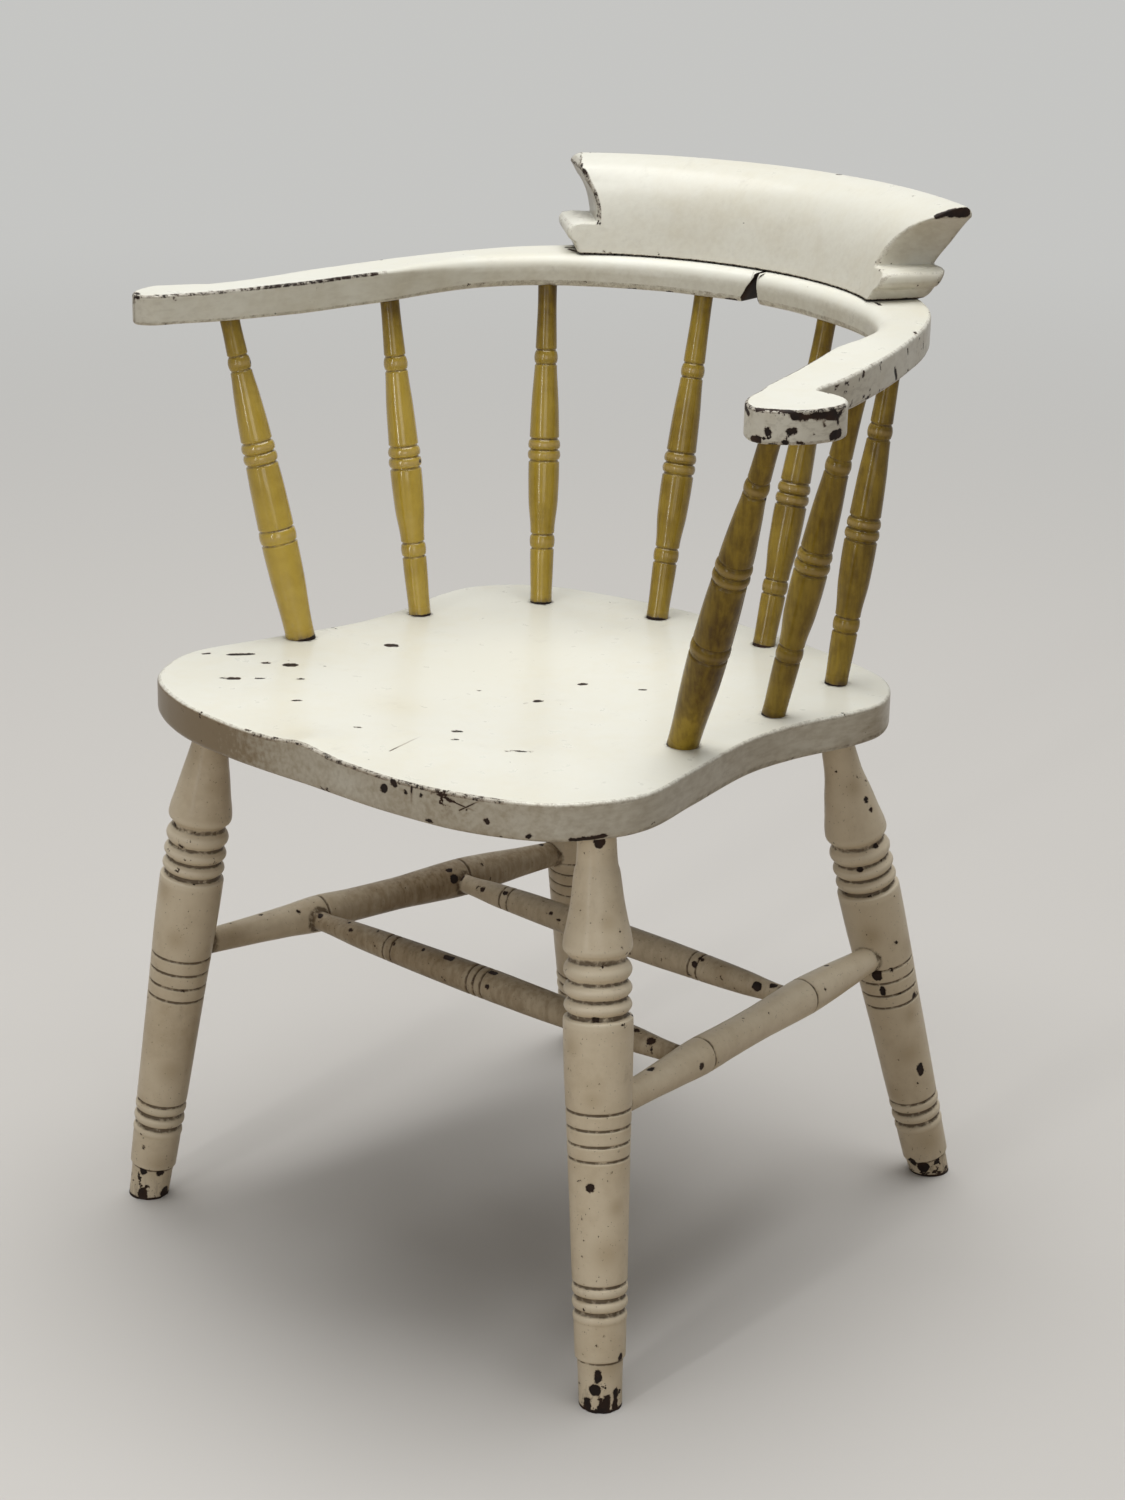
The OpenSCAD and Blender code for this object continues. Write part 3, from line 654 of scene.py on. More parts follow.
for seed, (name, (top, foot)) in enumerate(legEnds.items()):
    along, _, _ = axisFrame(top, foot)
    length = np.linalg.norm(foot - top)
    pattern = legPattern(length, legLook["drop"][name], legLook["neck"][name])
    leg = turnedPiece(name, top, foot, pattern, legLook["sides"], seed)
    points = readPoints(leg.data)
    gone = readField(leg.data, "gone")
    sawnFlat(points, gone, length, along)
    writePoints(leg.data, points)
    joint, farther = sideEnds[name.split("_")[-1]]
    if "back" in name:
        joint, farther = farther, joint
    into, _, _ = axisFrame(joint, farther)
    addDirt(leg.data, jointDirt(points, [(joint + into * 23, 9.5), (top, 11.5)]))
    writeField(leg.data, "soilAndShade", np.full(len(points), legLook["soilAndShade"][name]))
    writeField(leg.data, "stain", softSpots(points, turnedKnocks(top, foot, pattern, legLook["stains"])))
    worn = legLook["footWear"]
    writeField(leg.data, "scuff", np.clip((gone - length + worn) / worn, 0, 1) * 0.9)
    writeField(leg.data, "line", legLook["sole"] - (length - gone))
    knocks = turnedKnocks(top, foot, pattern, legLook["knocks"][name])
    finishPiece(leg, name, "cream_paint", knocks, 0.0005, 0.0004)
print("legs turned")

stretcherLook = {
    "sideRadius": 12.6, "crossRadius": 12, "tenon": 8.2, "sides": 56, "swell": {"left": 1.0, "right": 0.65},
    "sideInset": 20, "crossInset": 9,
    "crossAt": {"stretcher_front_cross": 0.30, "stretcher_back_cross": 0.67},
    "crossMarks": {"stretcher_front_cross": (0.245, 0.48, 0.74), "stretcher_back_cross": (0.18, 0.46, 0.735)},
    # soil: dirt and painted shade under the seat
    "soilAndShade": {"stretcher_left": 0.98, "stretcher_right": 0.0, "stretcher_front_cross": 0.84,
             "stretcher_back_cross": 0.5},
    "knocks": {
        "stretcher_left": [(74, -90, 1.8), (105, -50, 1.8), (259, -25, 4), (257, -57, 2, 2), (364, -88, 2.5),
                           (291, -48, 2)],
        "stretcher_right": [(66, -96, 2.5, 2), (113, -6, 3), (317, -102, 1.8), (289, -27, 1.5)],
        "stretcher_front_cross": [(18, 120, 2.5), (55, 140, 2), (48, 100, 1.5), (102, 130, 1.6),
                                  (130, 108, 2), (153, 105, 2.6, 6), (199, 100, 2.6, 3), (203, 160, 2),
                                  (342, 103, 2.5), (358, 130, 3.5)],
        "stretcher_back_cross": [(12, 120, 4), (40, 150, 2.6), (64, 130, 2.2), (116, 150, 2), (263, 150, 2.6),
                                 (268, 120, 2), (322, 150, 4), (334, 110, 3)],
    },
}


def sidePattern(length, swell):  # fuller where the cross stretchers go in
    r, t = stretcherLook["sideRadius"], stretcherLook["tenon"]
    near, far = 1 + 0.15 * swell, 1 + 0.23 * swell
    middles = [(0.15, 0.85), (0.24, 0.98), (0.33, near), (0.42, 1.04), (0.52, 1.03), (0.6, 0.4 + 0.6 * far),
               (0.69, far), (0.76, 0.35 + 0.65 * far), (0.86, 0.94)]
    return {
        "from": stretcherLook["sideInset"], "to": length - stretcherLook["sideInset"],
        "stations": [(0, 1.16 * t), (24, 1.18 * t)] + [(at * length, share * r) for at, share in middles]
                    + [(length - 24, 1.26 * t), (length, 1.2 * t)],
        "beads": [], "cuts": [(0.33 * length, 3.2, 1.5), (0.69 * length, 3.2, 1.5)],
    }


def crossPattern(length, marks):  # two cuts near each end and three in the middle
    r, t = stretcherLook["crossRadius"], 0.9 * stretcherLook["tenon"]
    low, mid, high = (mark * length for mark in marks)
    cuts = [(at + d, 2.6, 1.2) for at in (low, high) for d in (-4, 4)]
    cuts += [(mid + d, 3.0, 1.4) for d in (-7, 0, 7)]
    swell = [(0.14, 0.78), (0.25, 0.89), (0.4, 0.98), (0.5, 1), (0.6, 0.98), (0.75, 0.89), (0.86, 0.78)]
    return {
        "from": stretcherLook["crossInset"], "to": length - stretcherLook["crossInset"],
        "stations": [(0, t), (18, t)] + [(at * length, share * r) for at, share in swell]
                    + [(length - 18, t), (length, t)],
        "beads": [], "cuts": cuts,
    }


for seed, s in enumerate(("left", "right")):
    start, end = sideEnds[s]
    length = np.linalg.norm(end - start)
    name = "stretcher_" + s
    pattern = sidePattern(length, stretcherLook["swell"][s])
    rail = turnedPiece(name, start, end, pattern, stretcherLook["sides"], seed + 11)
    gone = readField(rail.data, "gone")
    inward = np.array([12.0 if s == "left" else -12.0, 0, 0])
    joints = [(onSide(s, share) + inward, 8.5) for share in stretcherLook["crossAt"].values()]
    addDirt(rail.data, jointDirt(readPoints(rail.data), joints))
    ends = np.minimum(gone, length - gone) - stretcherLook["sideInset"]
    addDirt(rail.data, np.clip(1 - np.abs(ends - 4) / 6, 0, 1) * 0.8)
    # darker towards the back: painted shade under the seat, with dirt
    writeField(rail.data, "soilAndShade", np.clip((gone - 90) / 110, 0.25, 1) * stretcherLook["soilAndShade"][name])
    finishPiece(rail, name, "cream_paint", turnedKnocks(start, end, pattern, stretcherLook["knocks"][name]))

for seed, (name, share) in enumerate(stretcherLook["crossAt"].items()):
    start, end = onSide("left", share), onSide("right", share)
    length = np.linalg.norm(end - start)
    pattern = crossPattern(length, stretcherLook["crossMarks"][name])
    rail = turnedPiece(name, start, end, pattern, stretcherLook["sides"], seed + 21)
    gone = readField(rail.data, "gone")
    ends = np.minimum(gone, length - gone) - 12
    addDirt(rail.data, np.clip(1 - np.abs(ends) / 6, 0, 1) * 0.9)
    writeField(rail.data, "scuff", np.full(len(gone), 0.12))
    writeField(rail.data, "soilAndShade", np.full(len(gone), stretcherLook["soilAndShade"][name]))
    finishPiece(rail, name, "cream_paint", turnedKnocks(start, end, pattern, stretcherLook["knocks"][name]))
print("stretchers turned")

spindleLook = {
    "top": 7.4, "base": 8.6, "postBase": 11.2, "sides": 56, "sunk": 4, "darkTop": 62,
    "shift": {"post_left": 0, "spindle_left_front": 5, "spindle_left_middle": 2, "spindle_left_back": 3,
              "post_right": 5, "spindle_right_front": 3, "spindle_right_middle": -1,
              "spindle_right_back": -1},
    # soil: dirt and painted shade, most on the right-hand spindles
    "soilAndShade": {"post_left": 0.0, "spindle_left_front": 0.0, "spindle_left_middle": 0.35,
             "spindle_left_back": 0.45, "post_right": 0.9, "spindle_right_front": 0.84,
             "spindle_right_middle": 0.8, "spindle_right_back": 0.6},
    "knocks": {
        "post_left": [(60, 60, 1.6), (196, 70, 1.4), (214, 40, 1.6)],
        "spindle_left_front": [(118, 70, 1.5), (121, 20, 1.4)],
        "post_right": [(205, 50, 1.8), (120, 70, 1.5), (214, 20, 1.5)],
        "spindle_right_front": [(205, 60, 1.8)],
    },
}


def spindlePattern(length, shift, post):  # shift moves the beads and the swell up the spindle
    top, base = spindleLook["top"], spindleLook["postBase" if post else "base"]
    sunk = spindleLook["sunk"]
    if post:
        marks = (77, 146, 211)
        swell = [(50, 13.4), (72, 13.85), (92, 13.75), (120, 13.2), (136, 12.5)]
        waist = [(158, 12.0), (190, 10.0), (207, 8.4), (224, 7.9)]
    else:
        marks = (43, 120, 189)
        swell = [(38, 9.5), (54, 9.5), (80, 11.7), (104, 12.4), (112, 12.3)]
        waist = [(130, 11.7), (160, 10.6), (185, 8.95), (201, 8.4)]
    low, mid, high = (at + shift for at in marks)
    stations = [(-6, base), (4, base)] + [(at + shift, radius) for at, radius in swell + waist]
    cuts = [(low - 1.5, 2.4, 1.1), (low + 9.5, 2.4, 1.1), (mid - 8.6, 2.6, 1.2), (mid, 2.0, 1.2),
            (mid + 8.6, 2.6, 1.2), (high - 1.5, 2.4, 0.9), (high + 9.5, 2.4, 0.9)]
    beads = [(low, low + 8, 0.5), (mid - 7.2, mid - 0.8, 0.8), (mid + 0.8, mid + 7.2, 0.8),
             (high, high + 8, 0.7)]
    return {"from": -sunk, "to": length + sunk, "stations": stations + [(length - 8, top), (length + 8, top)],
            "beads": beads, "cuts": cuts}


for seed, (name, (low, high)) in enumerate(spindleEnds.items()):
    start = np.array([*low, seatTop(low[1])])
    end = np.array([*high, float(armPlan["bottom"])])
    length = np.linalg.norm(end - start)
    pattern = spindlePattern(length, spindleLook["shift"][name], "post" in name)
    stick = turnedPiece(name, start, end, pattern, spindleLook["sides"], seed + 31, 0.6, 2.6)
    gone = readField(stick.data, "gone")
    addDirt(stick.data, np.clip(1 - gone / 7, 0, 1))
    addDirt(stick.data, np.clip(1 - (length - gone) / 26, 0, 1) * 0.75)
    writeField(stick.data, "line", 0.6 - gone)
    # darker towards each spindle's top, below the arm
    upper = np.clip(1 - (length - gone) / spindleLook["darkTop"], 0, 1)
    soilAndShade = spindleLook["soilAndShade"][name]
    writeField(stick.data, "soilAndShade", soilAndShade + upper * (0.9 - soilAndShade))
    knocks = turnedKnocks(start, end, pattern, spindleLook["knocks"].get(name, []))
    finishPiece(stick, name, "yellow_paint", knocks, 0.0004, 0.0003)
print("spindles turned")


# flat pieces: seat, arms and crest
def soften(mesh, sharp, rounds, strength=0.5):  # wears corners sharper than so many degrees round
    points = readPoints(mesh)
    work = bmesh.new()
    work.from_mesh(mesh)
    work.edges.ensure_lookup_table()
    marked = np.zeros(len(points), bool)
    limit = math.radians(sharp)
    for edge in work.edges:
        if len(edge.link_faces) == 2 and edge.calc_face_angle(0) > limit:
            marked[edge.verts[0].index] = marked[edge.verts[1].index] = True
    work.free()
    ends = np.empty(len(mesh.edges) * 2, np.int32)
    mesh.edges.foreach_get("vertices", ends)
    a, b = ends.reshape(-1, 2).T
    near = marked.copy()
    near[a] |= marked[b]
    near[b] |= marked[a]
    count = np.bincount(a, minlength=len(points)) + np.bincount(b, minlength=len(points))
    for _ in range(rounds):
        total = np.zeros_like(points)
        for k in range(3):
            total[:, k] = np.bincount(a, points[b, k], len(points))
            total[:, k] += np.bincount(b, points[a, k], len(points))
        mean = total / count[:, None]
        points[near] += (mean[near] - points[near]) * strength
    writePoints(mesh, points)


def gapTo(points, path):  # each point's distance from the nearest one of the path's, in mm
    tree = KDTree(len(path))
    for k, at in enumerate(path):
        tree.insert(at, k)
    tree.balance()
    return np.array([tree.find(at)[2] for at in points]) / mm


def edgeField(mesh, sharp=9, reach=3.5):  # 1 on a piece's edges, falling away over reach mm
    work = bmesh.new()
    work.from_mesh(mesh)
    limit = math.radians(sharp)
    picked = set()
    for edge in work.edges:
        long = len(edge.link_faces) == 2 and edge.calc_length() > 0.3 * mm
        if long and edge.calc_face_angle(0) > limit and edge.is_convex:
            picked.update(v.index for v in edge.verts)
    work.free()
    points = readPoints(mesh)
    return np.exp(-gapTo(points, points[sorted(picked)]) / reach)


def readNormals(mesh):
    normals = np.empty(len(mesh.vertices) * 3, np.float32)
    mesh.vertices.foreach_get("normal", normals)
    return normals.reshape(-1, 3)


def sideShadeAndSoil(mesh, low, high, most=1.0):  # darker the steeper the face: painted shade on the sides, with some dirt
    return eased(np.clip((high - readNormals(mesh)[:, 2]) / (high - low), 0, 1)) * most


def wornLine(points, path, size):  # a worn line along a path in mm in the frame, as a knock field
    return size - gapTo(points, path * mm)


def spotAt(at, heart, reach):  # 1 at the heart, falling away over the reach in each direction, in mm
    return np.exp(-sum(((at[:, k] - h) / r) ** 2 for k, (h, r) in enumerate(zip(heart, reach))))


def rowPlace(points):  # from the chair's own place in mm to the frame in metres
    return (np.asarray(points, float) - middle) * mm


seatLook = {
    "around": 720, "topRound": 2.6, "underRound": 5.0, "rim": 14.0, "heart": (0.0, -35.0),
    "dish": 5.0, "pommel": 3.0, "pommelWide": 19, "thighs": 1.4, "wornEdge": (-64, 158),
    "topKnocks": [  # first x, y; last x, y; size
        (-221, -186, -220, -183, 1.9), (-207, -173, -197, -160, 2.5), (-174, -169, -173, -167, 2.3),
        (-159, -159, -157, -157, 4.6), (-162, -214, -160, -211, 3.3), (-168, -218, -166, -216, 1.6),
        (-95, -217, -91, -213, 1.4), (-147, -64, -145, -61, 3.7), (11, -22, 12, -20, 2.7),
        (16, -77, 17, -75, 3.0), (14, -88, 15, -87, 1.4), (31, -180, 33, -178, 2.5),
        (88, -188, 101, -176, 1.6), (-128, -178, -126, -176, 1.6), (52, -2, 54, 0, 1.6),
        (-150, -200, -146, -196, 1.5), (44, -196, 46, -194, 1.5), (-30, -90, -28, -89, 1.2),
        (-20, -228, -17, -226, 1.3)],
    "sideKnocks": [  # first x, y, z; last x, y, z; size
        (73, -286, 437, 75, -286, 436, 2.6), (65, -287, 430, 66, -287, 431, 2.9),
        (98, -285, 434, 98, -285, 433, 1.6), (147, -273, 425, 147, -273, 424, 1.9),
        (103, -284, 416, 107, -284, 416, 1.5), (172, -260, 416, 174, -259, 418, 1.6),
        (206, -219, 415, 192, -238, 414, 2.0), (-98, -285, 437, -97, -285, 436, 1.4),
        (-70, -286, 440, -66, -286, 441, 1.4), (117, -282, 436, 124, -280, 434, 0.9),
        (133, -278, 431, 134, -278, 427, 0.8), (60, -288, 414, 78, -287, 414, 0.9),
        (84, -286, 433, 85, -286, 432, 1.0), (106, -284, 437, 108, -283, 438, 1.0)],
}


def seatDip(x, y):
    # the saddle: a shallow dish, two hollows for the thighs and a raised middle at the front
    dish = np.clip(1 - (x / 172) ** 2 - ((y + 35) / 165) ** 2, 0, 1)
    front = eased(np.clip((-y - 160) / 90, 0, 1))
    lip = eased(np.clip((-y - 205) / 58, 0, 1))
    hollows = np.exp(-((np.abs(x) - 78) / 40) ** 2) * front
    peak = np.exp(-((x + 6) / seatLook["pommelWide"]) ** 2) * lip
    return seatLook["dish"] * dish ** 1.3 + seatLook["thighs"] * hollows - seatLook["pommel"] * peak


def makeSeat():
    p = seatPlan
    f, b = p["frontY"], p["frontY"] + p["depth"]
    fh, wh, bh = p["frontHalf"], p["waistHalf"], p["backHalf"]
    half = smoothPath([
        (0, f), (0.33 * fh, f + 1), (0.61 * fh, f + 9), (0.84 * fh, f + 33), (0.96 * fh, f + 69),
        (fh, f + 107), (0.95 * fh, f + 167), (wh, f + 243), (wh + 1, f + 297), (bh, b - 113),
        (bh - 4, b - 74), (0.84 * bh, b - 36), (0.59 * bh, b - 16), (0.3 * bh, b - 5), (0, b)], 30)
    loop = np.vstack([half, half[-2:0:-1] * (-1, 1), half[:1]])
    loop = evenPath(loop, seatLook["around"])[:-1]
    out = outwardNormals(loop)
    heart = np.array(seatLook["heart"])
    inner = loop - out * seatLook["rim"]
    thick, topRound = p["thick"], seatLook["topRound"]
    under = seatLook["underRound"] + 3.0 * spotAt(loop, (-200, -200), (60, 70))  # worn most at the left front
    corner = np.radians(np.linspace(0, 90, 6))

    rings, levels = [], []  # each ring's points, and how far each is below the top
    for share in np.concatenate([[0, 0.015], np.linspace(0.035, 1, 62)]):
        rings.append(heart + (inner - heart) * share)
        levels.append(np.zeros(len(loop)))
    for inset in (11.0, 8.0, 5.5):
        rings.append(loop - out * inset)
        levels.append(np.zeros(len(loop)))
    for turn in corner:
        rings.append(loop - out * topRound * (1 - math.sin(turn)))
        levels.append(np.full(len(loop), topRound * (1 - math.cos(turn))))
    for share in np.linspace(0, 1, 12)[1:-1]:
        rings.append(loop.copy())
        levels.append(topRound + (thick - under - topRound) * share)
    for turn in corner:
        rings.append(loop - out * (under * (1 - math.cos(turn)))[:, None])
        levels.append(thick - under * (1 - math.sin(turn)))
    for share in np.concatenate([np.linspace(1, 0.1, 12), [0.03, 0]]):
        rings.append(heart + (inner - heart) * share)
        levels.append(np.full(len(loop), float(thick)))

    points = []
    for ring, level in zip(rings, levels):
        x, y = ring.T
        dip = seatDip(x, y) * np.clip(1 - level / thick, 0, 1) ** 0.5
        points.append(np.stack([x, y, seatTop(y) - level - dip], -1))
    faces = gridFaces(len(rings), len(loop), True)
    return solidMesh("seat", [(rowPlace(np.vstack(points)), faces)])


def seatKnocks():  # all of the seat's marks in mm in the frame
    made = []
    for *ends, size in seatLook["topKnocks"]:
        places = []
        for x, y in (ends[:2], ends[2:]):
            own = (x + middle[0], y + middle[1])
            places.append(np.array([x, y, seatTop(own[1]) - seatDip(*own)]))
        made.append((places[0], size, places[1]))
    return made + knocksFrom(seatLook["sideKnocks"])


seat = makeSeat()
points = readPoints(seat.data)
at = points / mm
edges = edgeField(seat.data)
writeField(seat.data, "proud", edges)
sockets = [(ends[0], 10.8) for ends in legEnds.values()]
for name, (low, _) in spindleEnds.items():
    sockets.append(((*low, seatTop(low[1])), 11.6 if "post" in name else 9.0))
# a dark line along the underside's edge: a painted shadow line, with dirt
under = at[(edges > onEdge) & (at[:, 2] < 414.5)]
addDirt(seat.data, jointDirt(points, sockets))
addDirt(seat.data, np.clip(wornLine(points, under, 1.6) / 1.6, 0, 1) * 0.55)
writeField(seat.data, "scuff", spotAt(at, (118, -281, 431), (16, 8, 8)) * 0.5
           + np.clip((418 - at[:, 2]) / 6, 0, 1) * 0.15)
writeField(seat.data, "stain", spotAt(at, (-37, -168), (30, 26)) * 0.30
           + spotAt(at, (-70, -40), (70, 110)) * 0.16)
shade = 0.72 + np.clip((-at[:, 0] - 30) / 130, 0, 1)  # darker on the left: painted shade, with some dirt
# steep faces darker: painted shade on the seat's sides, with dirt, most on the left
writeField(seat.data, "soilAndShade", sideShadeAndSoil(seat.data, 0.25, 0.8) * shade)
sharp = at[(edges > onEdge) & (at[:, 2] > 430)]
left, right = seatLook["wornEdge"]
wornPart = (sharp[:, 0] > left) & (sharp[:, 0] < right)
front, rest = sharp[wornPart & (sharp[:, 1] < -150)], sharp[~wornPart]
writeField(seat.data, "line", np.maximum(wornLine(points, front, -0.12), wornLine(points, rest, -0.5)))
finishPiece(seat, "seat", "white_paint", seatKnocks())

armLook = {
    "steps": 400, "across": 18, "tipPoint": 8,
    # hand: its inner x, width and length; thinner: taken off below it; worn: a dark line on its upper edge,
    # wear on the right and a painted edge shadow on the left
    "left": {"hand": (246, 48, 100), "first": -3, "bevel": 11.0, "outer": (-2, -3, -4),
             "thinner": 1.4, "worn": -0.1},
    "right": {"hand": (237, 61, 91), "first": 3, "bevel": 3.7, "outer": (0, 0, 0),
              "thinner": 0.8, "worn": -0.02},
    "knocks": {  # first x, y, z; last x, y, z; size
        "right": [(247, -140, 703, 255, -147, 700, 2.0), (264, -148, 704, 283, -137, 704, 2.0),
                  (284, -135, 701, 297, -110, 700, 3.2), (298, -106, 699, 299, -99, 702, 2.4),
                  (271, -146, 690, 271, -146, 691, 2.6), (284, -136, 692, 282, -138, 691, 2.4),
                  (265, -148, 685, 262, -149, 684, 2.7), (275, -143, 682, 272, -145, 682, 1.3),
                  (280, -140, 684, 281, -139, 685, 1.6), (296, -110, 686, 298, -104, 687, 3.2),
                  (294, -118, 695, 294, -117, 694, 1.0), (291, -125, 688, 291, -124, 689, 0.9),
                  (297, -106, 694, 297, -106, 695, 1.3), (259, -147, 694, 260, -147, 695, 0.8),
                  (286, -134, 684, 288, -132, 683, 1.0), (266, -147, 697, 268, -147, 697, 0.7),
                  (253, -52, 701, 252, -48, 702, 1.2), (243, -8, 700, 243, -6, 703, 1.5),
                  (222, 62, 685, 224, 58, 692, 2.2), (212, 88, 697, 213, 86, 700, 1.2),
                  (199, 114, 704, 195, 119, 705, 1.0), (122, 176, 705, 115, 181, 705, 1.2),
                  (206, 96, 684, 210, 90, 684, 1.6), (240, 6, 683, 243, -2, 683, 1.4)],
        # the marks at (-178, 170) and (-184, 174), under the crest's left end, are the painted shadow of the
        # open joint there
        "left": [(-178, 170, 705, -168, 167, 705, 1.7), (-119, 174, 682, -113, 176, 682, 1.2),
                 (-90, 187, 682, -86, 188, 682, 1.5), (-40, 198, 682, -32, 199, 682, 1.8),
                 (-96, 185, 690, -96, 185, 691, 0.7),
                 (-184, 174, 705, -178, 178, 705, 1.6), (-279, -195, 704, -272, -199, 703, 2.0),
                 (-263, -189, 704, -262, -188, 703, 1.9), (-256, -179, 702, -255, -178, 701, 1.0)],
    },
}
handShape = {  # outline points as shares of the hand's width and length, from its outer side round its tip
    "right": [(0.37, 0.08), (0.44, 0.22), (0.65, 0.23), (0.87, 0.30), (1, 0.45), (0.98, 0.63), (0.84, 0.82),
              (0.6, 0.96), (0.38, 1), (0.17, 0.91), (0.03, 0.75), (-0.05, 0.52), (-0.16, 0.25)],
    "left": [(0.3, 0.1), (0.38, 0.22), (0.46, 0.33), (0.62, 0.41), (0.84, 0.55), (0.98, 0.66), (0.97, 0.8),
             (0.88, 0.92), (0.68, 1), (0.42, 0.94), (0.23, 0.77), (0, 0.57), (-0.17, 0.37)],
}


def bowPoint(degrees, radius):
    turn = math.radians(degrees)
    return (radius * math.sin(turn), radius * math.cos(turn) + armPlan["centreY"])


def turnBow(points):  # the whole bow sits slightly askew on the chair
    c, s = math.cos(armPlan["twist"]), math.sin(armPlan["twist"])
    x, y = points[:, 0], points[:, 1] - armPlan["centreY"]
    return np.stack([x * c - y * s, x * s + y * c + armPlan["centreY"], points[:, 2]], -1)


def makeArm(sideName):
    look, steps, across = armLook[sideName], armLook["steps"], armLook["across"]
    slim = look["outer"]
    rows = [  # degrees round the bow, inner and outer radius
        (look["first"], 222, 277), (15, 222, 277), (30, 223, 278), (42, 225, 271), (54, 221, 258),
        (66, 211, 248), (78, 204, 246 + slim[0]), (90, 210, 252 + slim[1]), (99, 221, 262 + slim[2])]
    x0, width, length = look["hand"]
    path = [bowPoint(a, outer) for a, _, outer in rows]
    path += [(x0 + u * width, armPlan["handY"] - v * length) for u, v in handShape[sideName]]
    path += [bowPoint(a, inner) for a, inner, _ in reversed(rows)]
    spanSteps = 20
    path = smoothPath(path, spanSteps)
    tip = (len(rows) + armLook["tipPoint"]) * spanSteps
    outer, inner = evenPath(path[:tip + 1], steps), evenPath(path[tip:][::-1], steps)
    share = np.linspace(0, 1, across + 1)[1:-1, None]
    loop = np.vstack([inner, outer[-2::-1], outer[0] + (inner[0] - outer[0]) * share])
    out = outwardNormals(loop)
    n, thick = len(loop), armPlan["thick"]

    # edge rounding: a broad bullnose on the inner side behind the sitter, small everywhere else
    gone = np.full(n, 1.0)
    gone[:steps + 1] = np.linspace(0, 1, steps + 1)
    nose = eased(np.clip((0.62 - gone) / 0.25, 0, 1))
    nose[2 * steps + 1:] = 0
    deep, tall, low = 2.6 + 9.8 * nose, 2.6 + 9.3 * nose, 2.6 + 2.4 * nose
    inset, level = [], []
    for turn in np.radians([0, 15, 30, 45, 60, 75, 90]):
        inset.append(deep * (1 - math.sin(turn)))
        level.append(thick - tall * (1 - math.cos(turn)))
    for step in np.linspace(0, 1, 9)[1:-1]:
        inset.append(np.zeros(n))
        level.append((thick - tall) + (low - thick + tall) * step)
    for turn in np.radians([0, 22.5, 45, 67.5, 90]):
        inset.append(low * (1 - math.cos(turn)))
        level.append(low * (1 - math.sin(turn)))
    rings = [np.column_stack([loop - out * i[:, None], z]) for i, z in zip(inset, level)]

    def cap(ring):  # closes a ring with lines from its inner side to its outer side
        t = np.linspace(0, 1, across + 1)[:, None]
        lines = [ring[m] + (ring[2 * steps - m] - ring[m]) * t for m in range(steps + 1)]
        lines[0][1:-1] = ring[2 * steps + 1:][::-1]
        return np.vstack(lines), gridFaces(steps + 1, across + 1)

    sheets = [(np.vstack(rings), gridFaces(len(rings), n, True)), cap(rings[0]), cap(rings[-1])]
    placed = []
    for points, faces in sheets:
        near = np.clip(1 - (points[:, 0] - bowPoint(look["first"], 222)[0]) / 40, 0, 1) * (points[:, 1] > 150)
        cut = np.clip((thick - 2 - points[:, 2]) / (thick - 2), 0, 1)
        points = points.copy()
        points[:, 0] += near ** 0.6 * (cut * look["bevel"] + 0.25)  # the open joint at the back of the bow
        hand = np.clip((-points[:, 1] - 40) / 90, 0, 1)
        points[:, 2] += (1 - points[:, 2] / thick) * hand * look["thinner"]
        if sideName == "left":
            points = points * (-1, 1, 1)
        placed.append((rowPlace(turnBow(points + (0, 0, armPlan["bottom"]))), faces))
    arm = solidMesh("arm", placed)
    soften(arm.data, 30, 5)
    return arm


for sideName in ("left", "right"):
    arm = makeArm(sideName)
    points = readPoints(arm.data)
    at = points / mm
    tops = [((*high, armPlan["bottom"]), 7.6) for name, (_, high) in spindleEnds.items() if sideName in name]
    addDirt(arm.data, jointDirt(points, tops))
    # steep faces darker: painted shade on the arm's sides, with some dirt
    writeField(arm.data, "soilAndShade", sideShadeAndSoil(arm.data, 0.15, 0.7, 0.4))

    # the hand and the outer side are scuffed, the left arm only at its hand
    outerSide = np.clip((np.hypot(*(at[:, :2] - armPlan["heart"]).T) - 243) / 10, 0, 1)
    if sideName == "right":
        scuffed = np.clip((-at[:, 1] - 85) / 40, 0, 1) * 0.34
        scuffed = np.maximum(scuffed, outerSide * (at[:, 1] < 150) * 0.35)
    else:
        scuffed = np.clip((-at[:, 1] - 130) / 40, 0, 1) * 0.085
    writeField(arm.data, "scuff", scuffed * np.clip((704 - at[:, 2]) / 2, 0, 1))

    # x and y before the bow was turned
    x, y = at[:, 0] + middle[0], at[:, 1] + middle[1] - armPlan["centreY"]
    c, q = math.cos(armPlan["twist"]), math.sin(armPlan["twist"])
    x, y = x * c + y * q, y * c - x * q
    edges = edgeField(arm.data)
    edges[(np.hypot(x, y) < 237) & (y > 40) & (at[:, 2] > 686)] = 0  # the bullnose isn't worn
    writeField(arm.data, "proud", edges)
    sharp = at[edges > onEdge]
    handTop = sharp[(sharp[:, 1] < -95) & (sharp[:, 2] > 700)]
    inner = at[(np.hypot(x, y) < 244) & (at[:, 2] > 700) & (y < 30) & (edges > onEdge)]
    # on the left arm the hand's upper-edge line is a painted edge shadow; elsewhere these lines are wear
    lines = np.maximum(wornLine(points, sharp, -0.45), wornLine(points, handTop, armLook[sideName]["worn"]))
    lines = np.maximum(lines, wornLine(points, inner, 0.1))
    gap = np.abs(x - y * math.tan(math.radians(armPlan["jointAngle"])))
    joint = (gap < 12.5) & (y > 150) & (np.abs(readNormals(arm.data)[:, 0]) > 0.45)  # bare wood inside
    lines[joint] = 3 - gap[joint] * 0.1
    writeField(arm.data, "line", lines)
    finishPiece(arm, "arm_" + sideName, "white_paint", knocksFrom(armLook["knocks"][sideName]))

